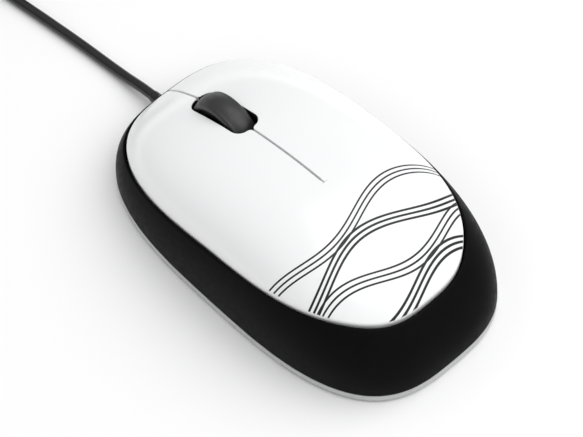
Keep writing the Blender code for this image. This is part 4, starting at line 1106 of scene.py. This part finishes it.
def striped(name, first, second, axis, pitch, width, gloss):
    """Even stripes across one axis, over moulded grain."""
    look = material(name, first, gloss)
    tree = look.node_tree
    split = tree.nodes.new("ShaderNodeSeparateXYZ")
    tree.links.new(coordinates(look), split.inputs["Vector"])
    along = Field(tree, split.outputs[axis]) * (1 / pitch)
    wave_at = along.math("PINGPONG", 0.5)
    tint(look, wave_at.ramp(width, width + 0.06, 1.0, 0.0), first, second)
    bump(look, wave_at.ramp(0.0, 0.5), 0.03 * MM)
    vary_gloss(look, noise(look, 1.2 * MM), gloss * 0.85, gloss * 1.15)
    return look


def metal(name, colour, gloss, grain, stretch=(1, 1, 1)):
    look = material(name, colour, gloss, Metallic=1.0)
    darker = tuple(c * 0.8 for c in colour)
    tint(look, noise(look, 3 * grain, 3.0, stretch).ramp(0.3, 0.7), darker, colour)
    vary_gloss(look, noise(look, grain, 4.0, stretch), gloss * 0.7, gloss * 1.3)
    bump(look, noise(look, grain, 4.0, stretch), 0.002 * MM)
    return look


def clear(name, colour, gloss):
    look = material(name, colour, gloss, Transmission_Weight=0.85, IOR=1.5)
    tint(look, noise(look, 2 * MM).ramp(0.2, 0.8), tuple(c * 0.85 for c in colour), colour)
    vary_gloss(look, noise(look, 0.8 * MM), gloss * 0.6, gloss * 1.4)
    bump(look, noise(look, 1.5 * MM), 0.004 * MM)
    return look


def keep_nodes(look, *names):
    """Gives carried-over CAD nodes a look."""
    for name in names:
        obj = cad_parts[name]
        if not obj.material_slots:
            obj.data.materials.append(look)
        for spot in obj.material_slots:
            spot.material = look


def make_inner_looks():
    keep_nodes(board_look(), "circuit_board")
    black = moulded("inner_black", (0.014, 0.014, 0.015), 0.48, 0.15 * MM, 0.008 * MM)
    keep_nodes(
        black, "led_clip", "left_switch", "right_switch", "wheel_switch", "wheel_light_detector",
        "wheel_carrier", "wheel_hub",
    )
    white = moulded("inner_white", (0.62, 0.59, 0.52), 0.42, 0.2 * MM, 0.006 * MM, Subsurface_Weight=0.05)
    keep_nodes(
        white, "cable_header", "left_switch_plunger", "right_switch_plunger", "wheel_switch_plunger",
        "plug_tongue",
    )
    chip = moulded("chip_package", (0.012, 0.012, 0.013), 0.6, 0.06 * MM, 0.006 * MM, 0.3)
    keep_nodes(chip, "optical_sensor", "controller_chip")
    keep_nodes(clear("clear_plastic", (0.86, 0.9, 0.92), 0.08), "sensor_lens", "wheel_light_emitter")
    keep_nodes(clear("red_lamp", (0.65, 0.03, 0.03), 0.1), "led")
    keep_nodes(moulded("lead_sleeve", (0.016, 0.016, 0.017), 0.4, 0.1 * MM, 0.004 * MM), "inner_leads")
    sleeve = striped("capacitor_sleeve", (0.02, 0.05, 0.2), (0.5, 0.52, 0.55), "X", 9 * MM, 0.06, 0.25)
    keep_nodes(sleeve, "capacitor")
    steel = metal("zinc_plate", (0.55, 0.56, 0.58), 0.3, 0.15 * MM)
    keep_nodes(steel, "left_case_screw", "right_case_screw", "left_board_screw", "right_board_screw")
    nickel = metal("nickel_plate", (0.66, 0.655, 0.64), 0.2, 0.2 * MM, (1, 0.08, 1))
    keep_nodes(nickel, "plug_shell")
    film = moulded("glide_film", (0.030, 0.030, 0.033), 0.36, 0.3 * MM, 0.01 * MM, 0.25)
    keep_nodes(film, "front_foot", "rear_foot")
    keep_nodes(moulded("label_film", (0.58, 0.58, 0.57), 0.5, 0.25 * MM, 0.003 * MM, 0.06), "blank_label")
    strap = striped("strap_ribs", (0.014, 0.014, 0.015), (0.03, 0.03, 0.032), "Y", 0.6 * MM, 0.2, 0.5)
    keep_nodes(strap, "cable_tie")


# ---------------------------------------------------------------- the scene

CORD_LOOK = moulded("cord_jacket", (0.005, 0.005, 0.0055), 0.24, 0.12 * MM, 0.003 * MM)
COVER_LOOK = make_cover_look()
BAND_LOOK = moulded(
    "soft_touch_black", (0.0045, 0.0045, 0.005), 0.44, 0.10 * MM, 0.003 * MM, Specular_IOR_Level=0.03,
)
# painted shade: near-black for the walls of the wheel's slot in the white cover, standing in for the
# hollow's shade
SLOT_SHADE_LOOK = moulded("slot_painted_shade", (0.006, 0.006, 0.0065), 0.6, 0.1 * MM, 0.004 * MM)
TYRE_LOOK = moulded("tyre_rubber", (0.022, 0.022, 0.023), 0.42, 0.08 * MM, 0.004 * MM)
BASE_LOOK = moulded("base_grey", (0.52, 0.525, 0.53), 0.42, 0.12 * MM, 0.004 * MM, 0.05)
PLUG_LOOK = moulded("plug_black", (0.010, 0.010, 0.011), 0.42, 0.12 * MM, 0.006 * MM)

make_camera()
CORD = make_cord()
make_cover()
make_band()
make_tyre()
make_base()
make_strain_relief()
make_plug()
make_inner_looks()
make_studio()
